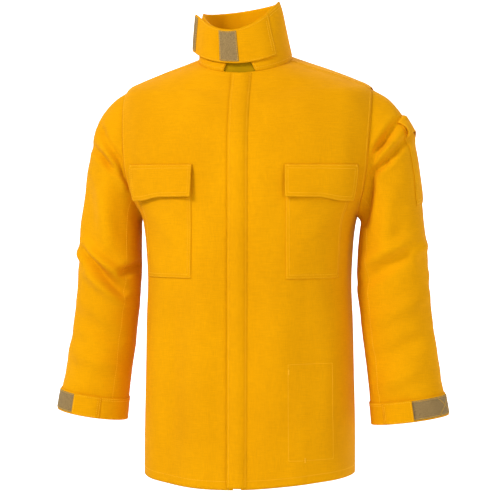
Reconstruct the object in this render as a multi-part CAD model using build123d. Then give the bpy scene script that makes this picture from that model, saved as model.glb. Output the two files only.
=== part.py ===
from build123d import *
import math
import os

# A long-sleeved firefighting coat of single yellow cloth, standing as if worn, arms hanging.
# +Z is up, the coat faces -Y, and the wearer's right side is at -X.
# The origin is inside the hanger loop at the back of the neck.

os.makedirs("parts", exist_ok=True)

# ---- cloth and clearances ----
CLOTH = 2.0  # one sewn layer with its turned edges
PATCH = 1.0  # hook or loop tape
LAYER_GAP = 0.2  # between layers sewn to each other
SEAM_GAP = 0.3  # between neighbouring panels, along the surface
FACING_GAP = 0.4  # between the body and the turned-up hem
SLEEVE_SEAM_GAP = 0.35  # degrees, each side of a sleeve's seams
MOVING_GAP = 0.6  # between a moving piece and what it covers

# ---- coat body, as a stack of rounded sections ----
CENTRE_Y = -52.0
ROUNDNESS = 2.4  # 2 is an ellipse, more is squarer
SHOULDER_RUN = -60.0
NECK_RUN = 92.0
HEM_RUN = -762.0  # at the sides
HEM_DROP = 14.0  # how much lower the hem is at the front and back
HEM_LEAN = 6.0  # how much lower the wearer's right front hangs
NECK_SADDLE = 9.0  # how much the neck seam rises at its sides


def body_depth(height):
    """Half-depth that keeps the centre front straight, with 1 mm of spread for each 64 mm down."""
    return 137.0 + (-160.0 - height) / 64.0


# run along the side, height, half-width, half-depth, centre x, centre y, slope of the section towards the front
BODY_ROWS = [
    (-810.0, -810.0, 193.0, body_depth(-810.0), 0.0, CENTRE_Y, 0.0),
    (-762.0, -762.0, 193.0, body_depth(-762.0), 0.0, CENTRE_Y, 0.0),
    (-690.0, -690.0, 193.0, body_depth(-690.0), 0.0, CENTRE_Y, 0.0),
    (-565.0, -565.0, 190.5, body_depth(-565.0), 0.0, CENTRE_Y, 0.0),
    (-476.0, -476.0, 188.5, body_depth(-476.0), 0.0, CENTRE_Y, 0.0),
    (-410.0, -410.0, 186.0, body_depth(-410.0), 0.0, CENTRE_Y, 0.0),
    (-344.0, -344.0, 189.0, body_depth(-344.0), 0.0, CENTRE_Y, 0.0),
    (-310.0, -310.0, 193.0, body_depth(-310.0), 0.0, CENTRE_Y, 0.0),
    (-290.0, -290.0, 198.0, body_depth(-290.0), 0.0, CENTRE_Y, 0.0),
    (-268.0, -268.0, 209.0, body_depth(-268.0), 0.0, CENTRE_Y, 0.0),
    (-240.0, -240.0, 223.0, body_depth(-240.0), 0.0, CENTRE_Y, 0.0),
    (-200.0, -200.0, 236.0, body_depth(-200.0), 0.0, CENTRE_Y, 0.0),
    (-150.0, -150.0, 240.0, 136.0, 0.0, CENTRE_Y, 0.0),
    (-105.0, -105.0, 237.0, 127.0, 0.0, CENTRE_Y, 0.04),
    (-76.0, -76.0, 230.0, 116.0, -0.5, -53.0, 0.08),
    (SHOULDER_RUN, -60.0, 221.0, 108.0, -1.0, -54.0, 0.11),
    (-38.0, -51.0, 200.0, 101.0, -2.0, -56.0, 0.14),
    (10.0, -37.0, 155.0, 90.0, -3.0, -60.0, 0.18),
    (55.0, -26.0, 114.0, 80.0, -4.0, -64.0, 0.21),
    (NECK_RUN, -17.0, 82.0, 75.0, -5.0, -67.0, 0.233),
]

# ---- armholes and sleeves ----
ARMHOLE_HALF_DEPTH = 64.0
ARMHOLE_TOP = -60.0
ARMHOLE_BOTTOM = -292.0
ARMHOLE_MARGIN = 4.5  # the body's hole is this much larger all round than the sleeve's end
ARMHOLE_GAP = 3.6  # how far outside the body's surface the sleeve starts
SLEEVE_WIDTH = {"right": 0.96, "left": 1.04}  # the two sleeves hang a little differently
# step, inner x, inner height, outer x, outer height, half-depth, centre y
SLEEVE_ROWS = [
    (0.0, 201.0, ARMHOLE_BOTTOM, 225.0, ARMHOLE_TOP, ARMHOLE_HALF_DEPTH, CENTRE_Y),
    (1.0, 204.0, -301.0, 258.0, -84.0, 64.5, CENTRE_Y),
    (2.0, 204.5, -313.0, 286.0, -122.0, 65.5, CENTRE_Y),
    (3.0, 203.5, -331.0, 299.0, -172.0, 66.0, CENTRE_Y),
    (4.0, 202.5, -356.0, 310.0, -234.0, 64.0, -53.0),
    (5.0, 202.0, -388.0, 318.0, -302.0, 62.0, -54.0),
    (6.0, 203.5, -426.0, 323.0, -374.0, 60.0, -55.0),
    (7.0, 208.0, -474.0, 328.0, -444.0, 59.0, -56.0),
    (8.0, 214.0, -532.0, 337.0, -512.0, 59.0, -57.0),
    (9.0, 221.0, -594.0, 348.0, -576.0, 59.0, -58.0),
    (10.0, 225.0, -630.0, 355.0, -611.0, 59.0, -59.0),
    (11.0, 229.0, -670.0, 362.0, -651.0, 59.0, -60.0),
]
SLEEVE_START = 0.02  # first step of the cloth, just off the armhole
CUFF_START = 10.0
SLEEVE_END = 11.0
UNDER_HALF_ANGLE = 48.0  # the under sleeve runs this far each side of the innermost line

# ---- front opening ----
FRONT_EDGE = 7.0  # from the centre to each front panel's edge
FLY_HALF_WIDTH = 18.0
FLY_TOP_RUN = 84.0
FLY_BOTTOM_LIFT = 3.0
FLY_SEWN_OFFSET = 3.4
FLY_CENTRE_OFFSET = 6.6
FLY_FREE_OFFSET = 4.9
ZIP_TOP_RUN = 55.0
ZIP_BOTTOM = -742.0
TEETH_INNER = 0.7
TEETH_OUTER = 3.0
TAPE_OUTER = 15.0
TAPE_GAP = 0.5
TAPE_THICKNESS = 0.8
STRIP_GAP = 0.3
SLIDER_TOP = -160.0
SLIDER_LENGTH = 16.0
SLIDER_HALF_WIDTH = 5.4
SLIDER_TRAVEL = 560.0

# ---- chest pockets, by angle from the centre front ----
POCKET_INNER = 32.5
POCKET_OUTER = 68.0
POCKET_TOP = -203.0
POCKET_BOTTOM = -402.0
POCKET_BULGE = 3.0
FLAP_TOP = -198.0
FLAP_BOTTOM = -257.0
FLAP_OVERHANG = 0.6  # degrees past the pocket each side
FLAP_STAND = 8.0  # how far the flap's lower edge stands off

# ---- inside pocket on the wearer's left ----
INNER_POCKET_ANGLES = (33.5, 61.0)
INNER_POCKET_HEIGHTS = (-724.0, -552.0)

# ---- collar and throat tab ----
COLLAR_GAP_ANGLE = 9.0  # each side of the centre front
COLLAR_TOP_HALF_WIDTH = 67.0
COLLAR_TOP_HALF_DEPTH = 66.0
COLLAR_TOP_X = -14.0
COLLAR_TOP_Y = -66.0
COLLAR_TOP_BACK = 88.0
COLLAR_TOP_FRONT = 44.0
COLLAR_TOP_LEAN = 10.0  # higher on the wearer's left
TAB_SEAM_ANGLE = 52.0
TAB_END_ANGLE = -86.0
TAB_LOW = 0.2
TAB_HIGH = 0.98
TAB_FLARE = 9.0

# ---- sleeve pocket on the wearer's left sleeve, by angle from the outermost line towards the front ----
SLEEVE_POCKET_ANGLES = (-50.0, 28.0)
SLEEVE_POCKET_STEPS = (1.85, 4.5)
SLEEVE_FLAP_STEPS = (1.7, 2.4)


def smooth_between(rows, key):
    """Rows interpolated at key by a curve through each row with the slope of its neighbours."""
    last = len(rows) - 1
    index = 0
    while index < last - 1 and key > rows[index + 1][0]:
        index += 1
    before = rows[max(index - 1, 0)]
    start = rows[index]
    end = rows[index + 1]
    after = rows[min(index + 2, last)]
    span = end[0] - start[0]
    t = min(max((key - start[0]) / span, 0.0), 1.0)
    values = []
    for column in range(1, len(start)):
        slope_start = (end[column] - before[column]) / (end[0] - before[0]) * span
        slope_end = (after[column] - start[column]) / (after[0] - start[0]) * span
        value = (2 * t**3 - 3 * t**2 + 1) * start[column] + (t**3 - 2 * t**2 + t) * slope_start
        value += (3 * t**2 - 2 * t**3) * end[column] + (t**3 - t**2) * slope_end
        values.append(value)
    return values


def body_point(angle, run):
    """A point of the coat body: angle in degrees from the centre front towards the wearer's left."""
    height, half_width, half_depth, centre_x, centre_y, slope = smooth_between(BODY_ROWS, run)
    sine = math.sin(math.radians(angle))
    cosine = math.cos(math.radians(angle))
    power = abs(sine / half_width) ** ROUNDNESS + abs(cosine / half_depth) ** ROUNDNESS
    radius = power ** (-1.0 / ROUNDNESS)
    y = -radius * cosine
    saddle = NECK_SADDLE * max(0.0, (run - SHOULDER_RUN) / (NECK_RUN - SHOULDER_RUN)) * sine**2
    return Vector(centre_x + radius * sine, centre_y + y, height + slope * y + saddle)


def body_side_x(y, z):
    """Half-width of the body at a place on its side, below the shoulder."""
    values = smooth_between(BODY_ROWS, min(z, SHOULDER_RUN))
    depth_part = min(abs((y - values[4]) / values[2]), 0.999)
    return values[1] * (1.0 - depth_part**ROUNDNESS) ** (1.0 / ROUNDNESS)


def sleeve_point(side, angle, step):
    """A point of a sleeve: angle in degrees from its outermost line towards the front."""
    inner_x, inner_z, outer_x, outer_z, half_depth, centre_y = smooth_between(SLEEVE_ROWS, step)
    sine = math.sin(math.radians(angle))
    cosine = math.cos(math.radians(angle))
    widen = 1.0 + (SLEEVE_WIDTH[side] - 1.0) * min(step / 4.0, 1.0)
    half_x = (outer_x - inner_x) / 2.0 * widen
    half_z = (outer_z - inner_z) / 2.0
    x = (outer_x + inner_x) / 2.0 + half_x * cosine
    y = centre_y - half_depth * sine
    z = (outer_z + inner_z) / 2.0 + half_z * cosine
    hold = max(0.0, 1.0 - step / 1.5)
    if hold > 0.0:
        x += (body_side_x(y, z) + ARMHOLE_GAP - x) * hold**2
    return Vector(x if side == "left" else -x, y, z)


def collar_point(angle, rise):
    """A point of the collar, from the neck seam at rise 0 to the top edge at rise 1."""
    low = body_point(angle, NECK_RUN)
    sine = math.sin(math.radians(angle))
    cosine = math.cos(math.radians(angle))
    top = COLLAR_TOP_BACK - (COLLAR_TOP_BACK - COLLAR_TOP_FRONT) * max(0.0, cosine) ** 1.5
    top += COLLAR_TOP_LEAN * sine
    x = COLLAR_TOP_X + COLLAR_TOP_HALF_WIDTH * sine
    y = COLLAR_TOP_Y - COLLAR_TOP_HALF_DEPTH * cosine
    return low + (Vector(x, y, top) - low) * rise


def sheet(surface, across, along, low, high, counts):
    """A closed solid between two offsets of a surface(u, v), over ranges of u and v.

    low and high are distances outwards. They and the ranges may be functions of the fractions crossed."""
    inner = skin(surface, across, along, low, counts)
    outer = skin(surface, across, along, high, counts)
    faces = [inner, outer]
    for edge in inner.edges():
        partner = min(outer.edges(), key=lambda other: edge_distance(edge, other))
        faces.append(Face.make_surface_from_curves(edge, partner))
    return Solid(Shell(faces))


def edge_distance(first, second):
    """How far apart two edges are, by three places along them, whichever way each runs."""
    ahead = sum(((first @ place) - (second @ place)).length for place in (0.0, 0.5, 1.0))
    back = sum(((first @ place) - (second @ (1.0 - place))).length for place in (0.0, 0.5, 1.0))
    return min(ahead, back)


def skin(surface, across, along, distance, counts):
    """One smooth face through a grid of places on the surface, moved outwards by distance."""
    columns, rows = counts
    wires = []
    for row in range(rows + 1):
        part_v = row / rows
        line = []
        for column in range(columns + 1):
            part_u = column / columns
            u0, u1 = across(part_v) if callable(across) else across
            v0, v1 = along(part_u) if callable(along) else along
            u = u0 + (u1 - u0) * part_u
            v = v0 + (v1 - v0) * part_v
            amount = distance(u, v) if callable(distance) else distance
            line.append(surface(u, v) + surface_normal(surface, u, v, u1 - u0, v1 - v0) * amount)
        wires.append(Wire([Edge.make_spline(line)]))
    return Shell.make_loft(wires, False).faces()[0]


def surface_normal(surface, u, v, span_u, span_v):
    """Outward unit normal by small differences: growing u crossed with growing v."""
    du = span_u * 0.002
    dv = span_v * 0.002
    tangent_u = surface(u + du, v) - surface(u - du, v)
    tangent_v = surface(u, v + dv) - surface(u, v - dv)
    return tangent_u.cross(tangent_v).normalized()


def hem_run(angle):
    """Height of the hem at an angle round the body."""
    cosine = math.cos(math.radians(angle))
    sine = math.sin(math.radians(angle))
    return HEM_RUN - HEM_DROP * cosine**2 + HEM_LEAN * sine * max(cosine, 0.0)


def save(name, *solids):
    """Writes one node."""
    shape = solids[0] if len(solids) == 1 else Compound(children=list(solids))
    export_step(shape, f"parts/{name}.step")


def side_sign(side):
    return 1.0 if side == "left" else -1.0


def mirrored_range(side, inner, outer):
    """A range of body angles on one side, always growing towards the wearer's left."""
    return (inner, outer) if side == "left" else (-outer, -inner)


def sleeve_surface(side):
    """The sleeve as a surface whose normal points outwards on both sides."""
    if side == "left":
        return lambda angle, step: sleeve_point("left", angle, step)
    return lambda angle, step: sleeve_point("right", -angle, step)


# ---- coat body panels ----
ARMHOLE_HEIGHT = (ARMHOLE_TOP + ARMHOLE_BOTTOM) / 2.0
ARMHOLE_HALF_HEIGHT = (ARMHOLE_TOP - ARMHOLE_BOTTOM) / 2.0
SHOULDER_SEAM_FORWARD = 16.0  # the yoke comes this far forward over the shoulder line
YOKE_RUN = -158.0
PANEL_ROWS = {"right": 44, "left": 46}  # grid rows of the front panels
SIDE_GAP_ANGLE = math.degrees(SEAM_GAP / 2.0 / 190.0)


def armhole_cutter(side):
    """An oval bar along X through one armhole."""
    sign = side_sign(side)
    plane = Plane(origin=(170.0 * sign, CENTRE_Y, ARMHOLE_HEIGHT), x_dir=(0, 1, 0), z_dir=(sign, 0, 0))
    oval = plane * Ellipse(ARMHOLE_HALF_DEPTH + ARMHOLE_MARGIN, ARMHOLE_HALF_HEIGHT + ARMHOLE_MARGIN)
    return extrude(oval, 120.0)


def shoulder_box(side, gap):
    """Everything above the chest and behind the shoulder seam of one side, moved back by gap."""
    sign = side_sign(side)
    armhole_end = Vector(222.0 * sign, CENTRE_Y - SHOULDER_SEAM_FORWARD + gap, 0)
    neck_end = Vector(78.0 * sign - 5.0, -67.0 - SHOULDER_SEAM_FORWARD + gap, 0)
    along = (armhole_end - neck_end).normalized() * sign
    middle = (armhole_end + neck_end) / 2.0
    plane = Plane(origin=(middle.X, middle.Y, -45.0), x_dir=along, z_dir=(0, 0, 1))
    return plane * Box(240.0, 90.0, 170.0, align=(Align.CENTER, Align.MIN, Align.CENTER))


def only_solid(shape):
    """The largest solid of a cut shape."""
    return sorted(shape.solids(), key=lambda solid: solid.volume)[-1]


def front_panel(side):
    outer_angle = 90.0 - SIDE_GAP_ANGLE

    def angles(part):
        values = smooth_between(BODY_ROWS, HEM_RUN + (NECK_RUN - HEM_RUN) * part)
        inner = math.degrees(math.atan2(FRONT_EDGE - values[3] * side_sign(side), values[2]))
        return mirrored_range(side, inner, outer_angle)

    def runs(part):
        across = part if side == "left" else 1.0 - part
        return (hem_run(outer_angle * across * side_sign(side)), NECK_RUN)

    panel = sheet(body_point, angles, runs, 0.0, CLOTH, (12, PANEL_ROWS[side]))
    return only_solid(panel - armhole_cutter(side) - shoulder_box(side, 0.0))


def back_panel():
    angles = (90.0 + SIDE_GAP_ANGLE, 270.0 - SIDE_GAP_ANGLE)

    def runs(part):
        return (hem_run(angles[0] + (angles[1] - angles[0]) * part), YOKE_RUN - SEAM_GAP)

    panel = sheet(body_point, angles, runs, 0.0, CLOTH, (20, 18))
    return only_solid(panel - armhole_cutter("left") - armhole_cutter("right"))


def back_yoke():
    yoke = sheet(body_point, (62.0, 298.0), (YOKE_RUN, NECK_RUN), 0.0, CLOTH, (26, 14))
    yoke = yoke - armhole_cutter("left") - armhole_cutter("right")
    for side in ("right", "left"):
        sign = side_sign(side)
        ahead = shoulder_box(side, SEAM_GAP)
        plane = Plane(ahead.faces().sort_by(Axis.Y)[0])
        front = plane * Box(300.0, 300.0, 60.0, align=(Align.CENTER, Align.CENTER, Align.MIN))
        half = Pos(150.0 * sign, -150.0, 0) * Box(300.0, 400.0, 600.0)
        yoke = yoke - (front & half)
    return only_solid(yoke)


def hem_facing():
    """The turned-up hem inside the coat, in four lengths."""
    lengths = []
    for start, end in ((5.0, 89.0), (91.0, 179.5), (180.5, 269.0), (271.0, 355.0)):

        def runs(part, start=start, end=end):
            low = hem_run(start + (end - start) * part)
            return (low + 1.0, low + 12.0)

        lengths.append(sheet(body_point, (start, end), runs, -FACING_GAP - 1.2, -FACING_GAP, (12, 2)))
    return lengths


# ---- front opening ----
def front_point(x, run):
    """A point on the body's surface at a sideways distance x from the centre front."""
    values = smooth_between(BODY_ROWS, run)
    return body_point(math.degrees(math.atan2(x - values[3], values[2])), run)


def strip(x_low, x_high, run_low, run_high, low, high, rows=24):
    """An upright strip of the front."""
    return sheet(front_point, (x_low, x_high), (run_low, run_high), low, high, (2, rows))


def both_strips(name, inner, outer, run_low, run_high, low, high, rows=24):
    save(f"right_{name}", strip(-outer, -inner, run_low, run_high, low, high, rows))
    save(f"left_{name}", strip(inner, outer, run_low, run_high, low, high, rows))


def fly_offset(x, run):
    """The fly lies on the cloth at its sewn edge and rises over the zip and the closing strips."""
    part = (FLY_HALF_WIDTH - x) / (2.0 * FLY_HALF_WIDTH)
    if part < 0.5:
        rise = math.sin(math.pi * part) ** 2
        return FLY_SEWN_OFFSET + (FLY_CENTRE_OFFSET - FLY_SEWN_OFFSET) * rise
    fall = math.cos(math.pi * part) ** 2
    return FLY_CENTRE_OFFSET + (FLY_FREE_OFFSET - FLY_CENTRE_OFFSET) * fall


def storm_fly():
    low_run = hem_run(0.0) + FLY_BOTTOM_LIFT
    return sheet(
        front_point,
        (-FLY_HALF_WIDTH, FLY_HALF_WIDTH),
        (low_run, FLY_TOP_RUN),
        fly_offset,
        lambda x, run: fly_offset(x, run) + CLOTH,
        (8, 48),
    )


STRIP_X = (-16.5, -9.5)
STRIP_RUNS = ((-40.0, 30.0), (-330.0, -150.0), (-540.0, -360.0), (-740.0, -570.0))


def zip_plane():
    """The front's plane at the slider: +X to the wearer's left, +Y up, +Z outwards."""
    place = front_point(0.0, SLIDER_TOP)
    ahead = surface_normal(front_point, 0.0, SLIDER_TOP, 10.0, 100.0)
    return Plane(origin=place, x_dir=(1, 0, 0), z_dir=ahead)


PULL_PIVOT_DROP = 5.0
PULL_LENGTH = 24.0
PULL_WIDTH = 6.4
POST_RADIUS = 1.2


def zip_slider():
    """Two plates joined by a thin wedge between the rows of teeth, with a post for the pull."""
    centre_y = -SLIDER_LENGTH / 2.0
    flat = (Align.CENTER, Align.CENTER, Align.MIN)
    front = Pos(0, centre_y, 2.1) * Box(2 * SLIDER_HALF_WIDTH, SLIDER_LENGTH, 1.2, align=flat)
    back = Pos(0, centre_y, -3.3) * Box(2 * SLIDER_HALF_WIDTH, SLIDER_LENGTH, 1.2, align=flat)
    front = fillet(front.edges().filter_by(Axis.Z), 2.5)
    back = fillet(back.edges().filter_by(Axis.Z), 2.5)
    wedge = Pos(0, -3.0, -2.2) * Box(0.7, 4.0, 4.4, align=flat)
    post = Pos(0, -PULL_PIVOT_DROP, 3.2) * Cylinder(POST_RADIUS, 2.4, align=flat)
    cap = Pos(0, -PULL_PIVOT_DROP, 5.2) * Cylinder(2.4, 0.6, align=flat)
    return zip_plane() * (front + back + wedge + post + cap)


def zip_pull():
    """A flat drop-shaped pull on the slider's post."""
    flat = (Align.CENTER, Align.CENTER, Align.MIN)
    plate = Pos(0, -PULL_LENGTH / 2.0, 0) * Box(PULL_WIDTH, PULL_LENGTH, 1.1, align=flat)
    plate = fillet(plate.edges().filter_by(Axis.Z), 2.8)
    plate = Pos(0, PULL_WIDTH / 2.0 - PULL_PIVOT_DROP, 3.7) * plate
    hole = Pos(0, -PULL_PIVOT_DROP, 3.0) * Cylinder(POST_RADIUS + 0.08, 3.0, align=flat)
    slot = Pos(0, -PULL_LENGTH + 6.0, 3.0) * Box(2.6, 8.0, 3.0, align=flat)
    return zip_plane() * (plate - hole - slot)


def zip_end_box():
    place = front_point(0.0, ZIP_BOTTOM - 5.0)
    return Pos(place.X, place.Y, place.Z) * Box(7.0, 2.6, 9.0)


def zip_top_stops():
    stops = []
    for sign in (-1.0, 1.0):
        place = front_point(2.2 * sign, ZIP_TOP_RUN + 16.0)
        stops.append(Pos(place.X, place.Y, place.Z) * Box(3.0, 2.6, 4.0))
    return stops


# ---- chest pockets ----
def pocket_rise(angle, run):
    """How far the filled-out pocket bag stands off its sewn edges."""
    part_u = (abs(angle) - POCKET_INNER) / (POCKET_OUTER - POCKET_INNER)
    part_v = (run - POCKET_BOTTOM) / (POCKET_TOP - POCKET_BOTTOM)
    part_u = min(max(part_u, 0.0), 1.0)
    part_v = min(max(part_v, 0.0), 1.0)
    return POCKET_BULGE * math.sin(math.pi * part_u) * math.sin(math.pi * part_v)


def bag_outside(angle, run):
    return CLOTH + LAYER_GAP + pocket_rise(angle, run) + CLOTH


def flap_inside(angle, run):
    """The flap stands further off towards its lower edge."""
    down = (FLAP_TOP - run) / (FLAP_TOP - FLAP_BOTTOM)
    return 5.0 + FLAP_STAND * max(down, 0.0) ** 0.8


PATCH_ANGLES = ((37.0, 46.0), (54.5, 63.5))
PATCH_RUNS = (-249.0, -227.0)


def chest_pocket(side):
    angles = mirrored_range(side, POCKET_INNER, POCKET_OUTER)
    bag = sheet(
        body_point,
        angles,
        (POCKET_BOTTOM, POCKET_TOP),
        lambda angle, run: bag_outside(angle, run) - CLOTH,
        bag_outside,
        (8, 10),
    )
    save(f"{side}_chest_pocket", bag)
    flap_angles = mirrored_range(side, POCKET_INNER - FLAP_OVERHANG, POCKET_OUTER + FLAP_OVERHANG)
    flap = sheet(
        body_point,
        flap_angles,
        (FLAP_BOTTOM, FLAP_TOP),
        flap_inside,
        lambda angle, run: flap_inside(angle, run) + CLOTH,
        (8, 5),
    )
    save(f"{side}_pocket_flap", flap)
    loops = []
    hooks = []
    for inner, outer in PATCH_ANGLES:
        patch_angles = mirrored_range(side, inner, outer)
        loops.append(
            sheet(
                body_point,
                patch_angles,
                PATCH_RUNS,
                lambda angle, run: bag_outside(angle, run) + 0.1,
                lambda angle, run: bag_outside(angle, run) + 0.1 + PATCH,
                (4, 4),
            )
        )
        hooks.append(
            sheet(
                body_point,
                patch_angles,
                PATCH_RUNS,
                lambda angle, run: flap_inside(angle, run) - 0.1 - PATCH,
                lambda angle, run: flap_inside(angle, run) - 0.1,
                (4, 4),
            )
        )
    save(f"{side}_pocket_loop_patches", *loops)
    save(f"{side}_flap_hook_patches", *hooks)


BARTACK_LENGTH = 9.0
BARTACK_WIDTH_ANGLE = 0.8


def bartacks():
    """Short dense stitches at the pocket corners and at the ends of the inside pocket's seam."""
    tacks = []
    for side in ("right", "left"):
        for angle in (POCKET_INNER + 1.0, POCKET_OUTER - 1.0):
            angles = mirrored_range(side, angle - BARTACK_WIDTH_ANGLE / 2.0, angle + BARTACK_WIDTH_ANGLE / 2.0)
            runs = (POCKET_TOP - 3.0 - BARTACK_LENGTH, POCKET_TOP - 3.0)
            tacks.append(sheet(body_point, angles, runs, 4.35, 4.85, (2, 2)))
    low_run, high_run = INNER_POCKET_HEIGHTS
    inner, outer = INNER_POCKET_ANGLES
    for angle, run in ((inner, high_run - 14.0), ((inner + outer) / 2.0 - 4.0, low_run + 1.0)):
        runs = (run - BARTACK_LENGTH / 2.0, run + BARTACK_LENGTH / 2.0)
        tacks.append(sheet(body_point, (angle, angle + BARTACK_WIDTH_ANGLE), runs, 2.1, 2.6, (2, 2)))
    return tacks


# ---- collar, throat tab, hanger loop ----
COLLAR_LOW = 0.05
COLLAR_ANGLES = (COLLAR_GAP_ANGLE, 360.0 - COLLAR_GAP_ANGLE)
COLLAR_OUTSIDE = 1.6 + LAYER_GAP + 1.8


def tab_inside(angle, rise):
    """The tab lies on the collar at its seam and flares out at its free end."""
    part = (TAB_SEAM_ANGLE - angle) / (TAB_SEAM_ANGLE - TAB_END_ANGLE)
    flare = TAB_FLARE * max(0.0, (part - 0.8) / 0.2) ** 2
    return COLLAR_OUTSIDE + MOVING_GAP + 2.8 * part + flare


def tab_part(angles, rises, low, high, counts):
    """A layer of the throat tab between two distances from its inside."""
    return sheet(
        collar_point,
        angles,
        rises,
        lambda angle, rise: tab_inside(angle, rise) + low,
        lambda angle, rise: tab_inside(angle, rise) + high,
        counts,
    )


def loop_point(angle, height):
    """The hanger loop, a ribbon standing off the back of the collar."""
    turn = math.radians(angle)
    return Vector(26.0 * math.cos(turn) - 2.0, 2.6 - 10.5 * math.sin(turn), height)


# ---- sleeves ----
def sleeve_range(side, low, high):
    """A range of sleeve angles, from the outermost line towards the front, for sleeve_surface."""
    return (low, high) if side == "left" else (-high, -low)


TAB_SEAM = {"right": 113.0, "left": 127.0}  # sleeve angles of the cuff tab's sewn end and free end
TAB_END = {"right": 68.0, "left": 80.0}
LOOP_OVERLAP = 13.0  # the loop patch reaches this far under the tab
LOOP_END = -2.0
BAND_INSIDE = 0.6
BAND_OUTSIDE = BAND_INSIDE + 1.6


def cuff_tab_inside(side):
    """Distance of the tab's inside from the sleeve, rising towards its free end."""

    def distance(angle, step):
        turn = angle if side == "left" else -angle
        part = (TAB_SEAM[side] - turn) / (TAB_SEAM[side] - TAB_END[side])
        return BAND_OUTSIDE + MOVING_GAP + 2.4 * min(max(part, 0.0), 1.0) ** 0.5

    return distance


def cuff_layer(side, low_angle, high_angle, steps, low, high, counts):
    """A layer of one cuff tab between two distances from the tab's inside."""
    inside = cuff_tab_inside(side)
    return sheet(
        sleeve_surface(side),
        sleeve_range(side, low_angle, high_angle),
        steps,
        lambda angle, step: inside(angle, step) + low,
        lambda angle, step: inside(angle, step) + high,
        counts,
    )


def sleeve_layer(side, low_angle, high_angle, steps, low, high, counts):
    return sheet(sleeve_surface(side), sleeve_range(side, low_angle, high_angle), steps, low, high, counts)


def sleeve(side):
    steps = (SLEEVE_START, SLEEVE_END)
    seam = 180.0 - UNDER_HALF_ANGLE
    top = (-seam + SLEEVE_SEAM_GAP, seam - SLEEVE_SEAM_GAP)
    under = (seam + SLEEVE_SEAM_GAP, 360.0 - seam - SLEEVE_SEAM_GAP)
    save(f"{side}_top_sleeve", sleeve_layer(side, *top, steps, -CLOTH, 0.0, (16, 32)))
    save(f"{side}_under_sleeve", sleeve_layer(side, *under, steps, -CLOTH, 0.0, (8, 32)))
    band_steps = (CUFF_START, SLEEVE_END)
    band = (-180.0 + 0.5, 180.0 - 0.5)
    save(f"{side}_cuff", sleeve_layer(side, *band, band_steps, BAND_INSIDE, BAND_OUTSIDE, (20, 3)))
    patch_steps = (CUFF_START + 0.08, SLEEVE_END - 0.08)
    patch_low = BAND_OUTSIDE + 0.1
    patch_angles = (LOOP_END, TAB_END[side] + LOOP_OVERLAP)
    patch = sleeve_layer(side, *patch_angles, patch_steps, patch_low, patch_low + PATCH, (8, 3))
    save(f"{side}_cuff_loop_patch", patch)
    tab_steps = (CUFF_START + 0.02, SLEEVE_END - 0.02)
    save(f"{side}_cuff_tab", cuff_layer(side, TAB_END[side], TAB_SEAM[side], tab_steps, 0.0, CLOTH, (8, 3)))
    hook_high = TAB_END[side] + LOOP_OVERLAP - 1.0
    hook = cuff_layer(side, TAB_END[side] + 1.0, hook_high, patch_steps, -0.1 - 0.7, -0.1, (4, 3))
    save(f"{side}_cuff_hook_patch", hook)


def sleeve_flap_inside(angle, step):
    down = (step - SLEEVE_FLAP_STEPS[0]) / (SLEEVE_FLAP_STEPS[1] - SLEEVE_FLAP_STEPS[0])
    return 3.8 + 6.0 * min(max(down, 0.0), 1.0) ** 0.8


def sleeve_pocket():
    low_angle, high_angle = SLEEVE_POCKET_ANGLES
    bag_low = 0.8
    bag_high = bag_low + CLOTH
    bag = sleeve_layer("left", low_angle, high_angle, SLEEVE_POCKET_STEPS, bag_low, bag_high, (8, 14))
    save("sleeve_pocket", bag)
    patch_angles = (low_angle + 14.0, high_angle - 14.0)
    patch_steps = (SLEEVE_FLAP_STEPS[0] + 0.28, SLEEVE_FLAP_STEPS[1] - 0.06)
    loop = sleeve_layer("left", *patch_angles, patch_steps, bag_high + 0.1, bag_high + 0.1 + PATCH, (5, 3))
    save("sleeve_pocket_loop_patch", loop)
    flap_angles = (low_angle - 1.0, high_angle + 1.0)
    flap = sheet(
        sleeve_surface("left"),
        flap_angles,
        SLEEVE_FLAP_STEPS,
        sleeve_flap_inside,
        lambda angle, step: sleeve_flap_inside(angle, step) + CLOTH,
        (8, 4),
    )
    save("sleeve_pocket_flap", flap)
    hook = sheet(
        sleeve_surface("left"),
        patch_angles,
        patch_steps,
        lambda angle, step: sleeve_flap_inside(angle, step) - 0.1 - PATCH,
        lambda angle, step: sleeve_flap_inside(angle, step) - 0.1,
        (5, 3),
    )
    save("sleeve_flap_hook_patch", hook)


save("right_front_panel", front_panel("right"))
save("left_front_panel", front_panel("left"))
save("back_panel", back_panel())
save("back_yoke", back_yoke())
save("hem_facing", *hem_facing())

tape_edges = (TEETH_OUTER + 0.1, TAPE_OUTER)
both_strips("zip_tape", *tape_edges, ZIP_BOTTOM, ZIP_TOP_RUN, -TAPE_GAP - TAPE_THICKNESS, -TAPE_GAP)
both_strips("zip_teeth", TEETH_INNER, TEETH_OUTER, ZIP_BOTTOM, ZIP_TOP_RUN, -1.4, 1.4)
save("zip_end_box", zip_end_box())
save("zip_top_stops", *zip_top_stops())
save("zip_slider", zip_slider())
save("zip_pull", zip_pull())
save("storm_fly", storm_fly())
strip_low = CLOTH + STRIP_GAP
loop_strips = [strip(*STRIP_X, *runs, strip_low, strip_low + PATCH, 10) for runs in STRIP_RUNS]
save("fly_loop_strips", *loop_strips)
hook_strips = []
for low_run, high_run in STRIP_RUNS:
    hook_strips.append(
        sheet(
            front_point,
            STRIP_X,
            (low_run, high_run),
            lambda x, run: fly_offset(x, run) - 0.3 - 0.8,
            lambda x, run: fly_offset(x, run) - 0.3,
            (3, 10),
        )
    )
save("fly_hook_strips", *hook_strips)

for side_name in ("right", "left"):
    chest_pocket(side_name)
    sleeve(side_name)
sleeve_pocket()
inner_pocket = sheet(body_point, INNER_POCKET_ANGLES, INNER_POCKET_HEIGHTS, -LAYER_GAP - 1.5, -LAYER_GAP, (6, 4))
save("inner_pocket", inner_pocket)
save("bartacks", *bartacks())

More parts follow.
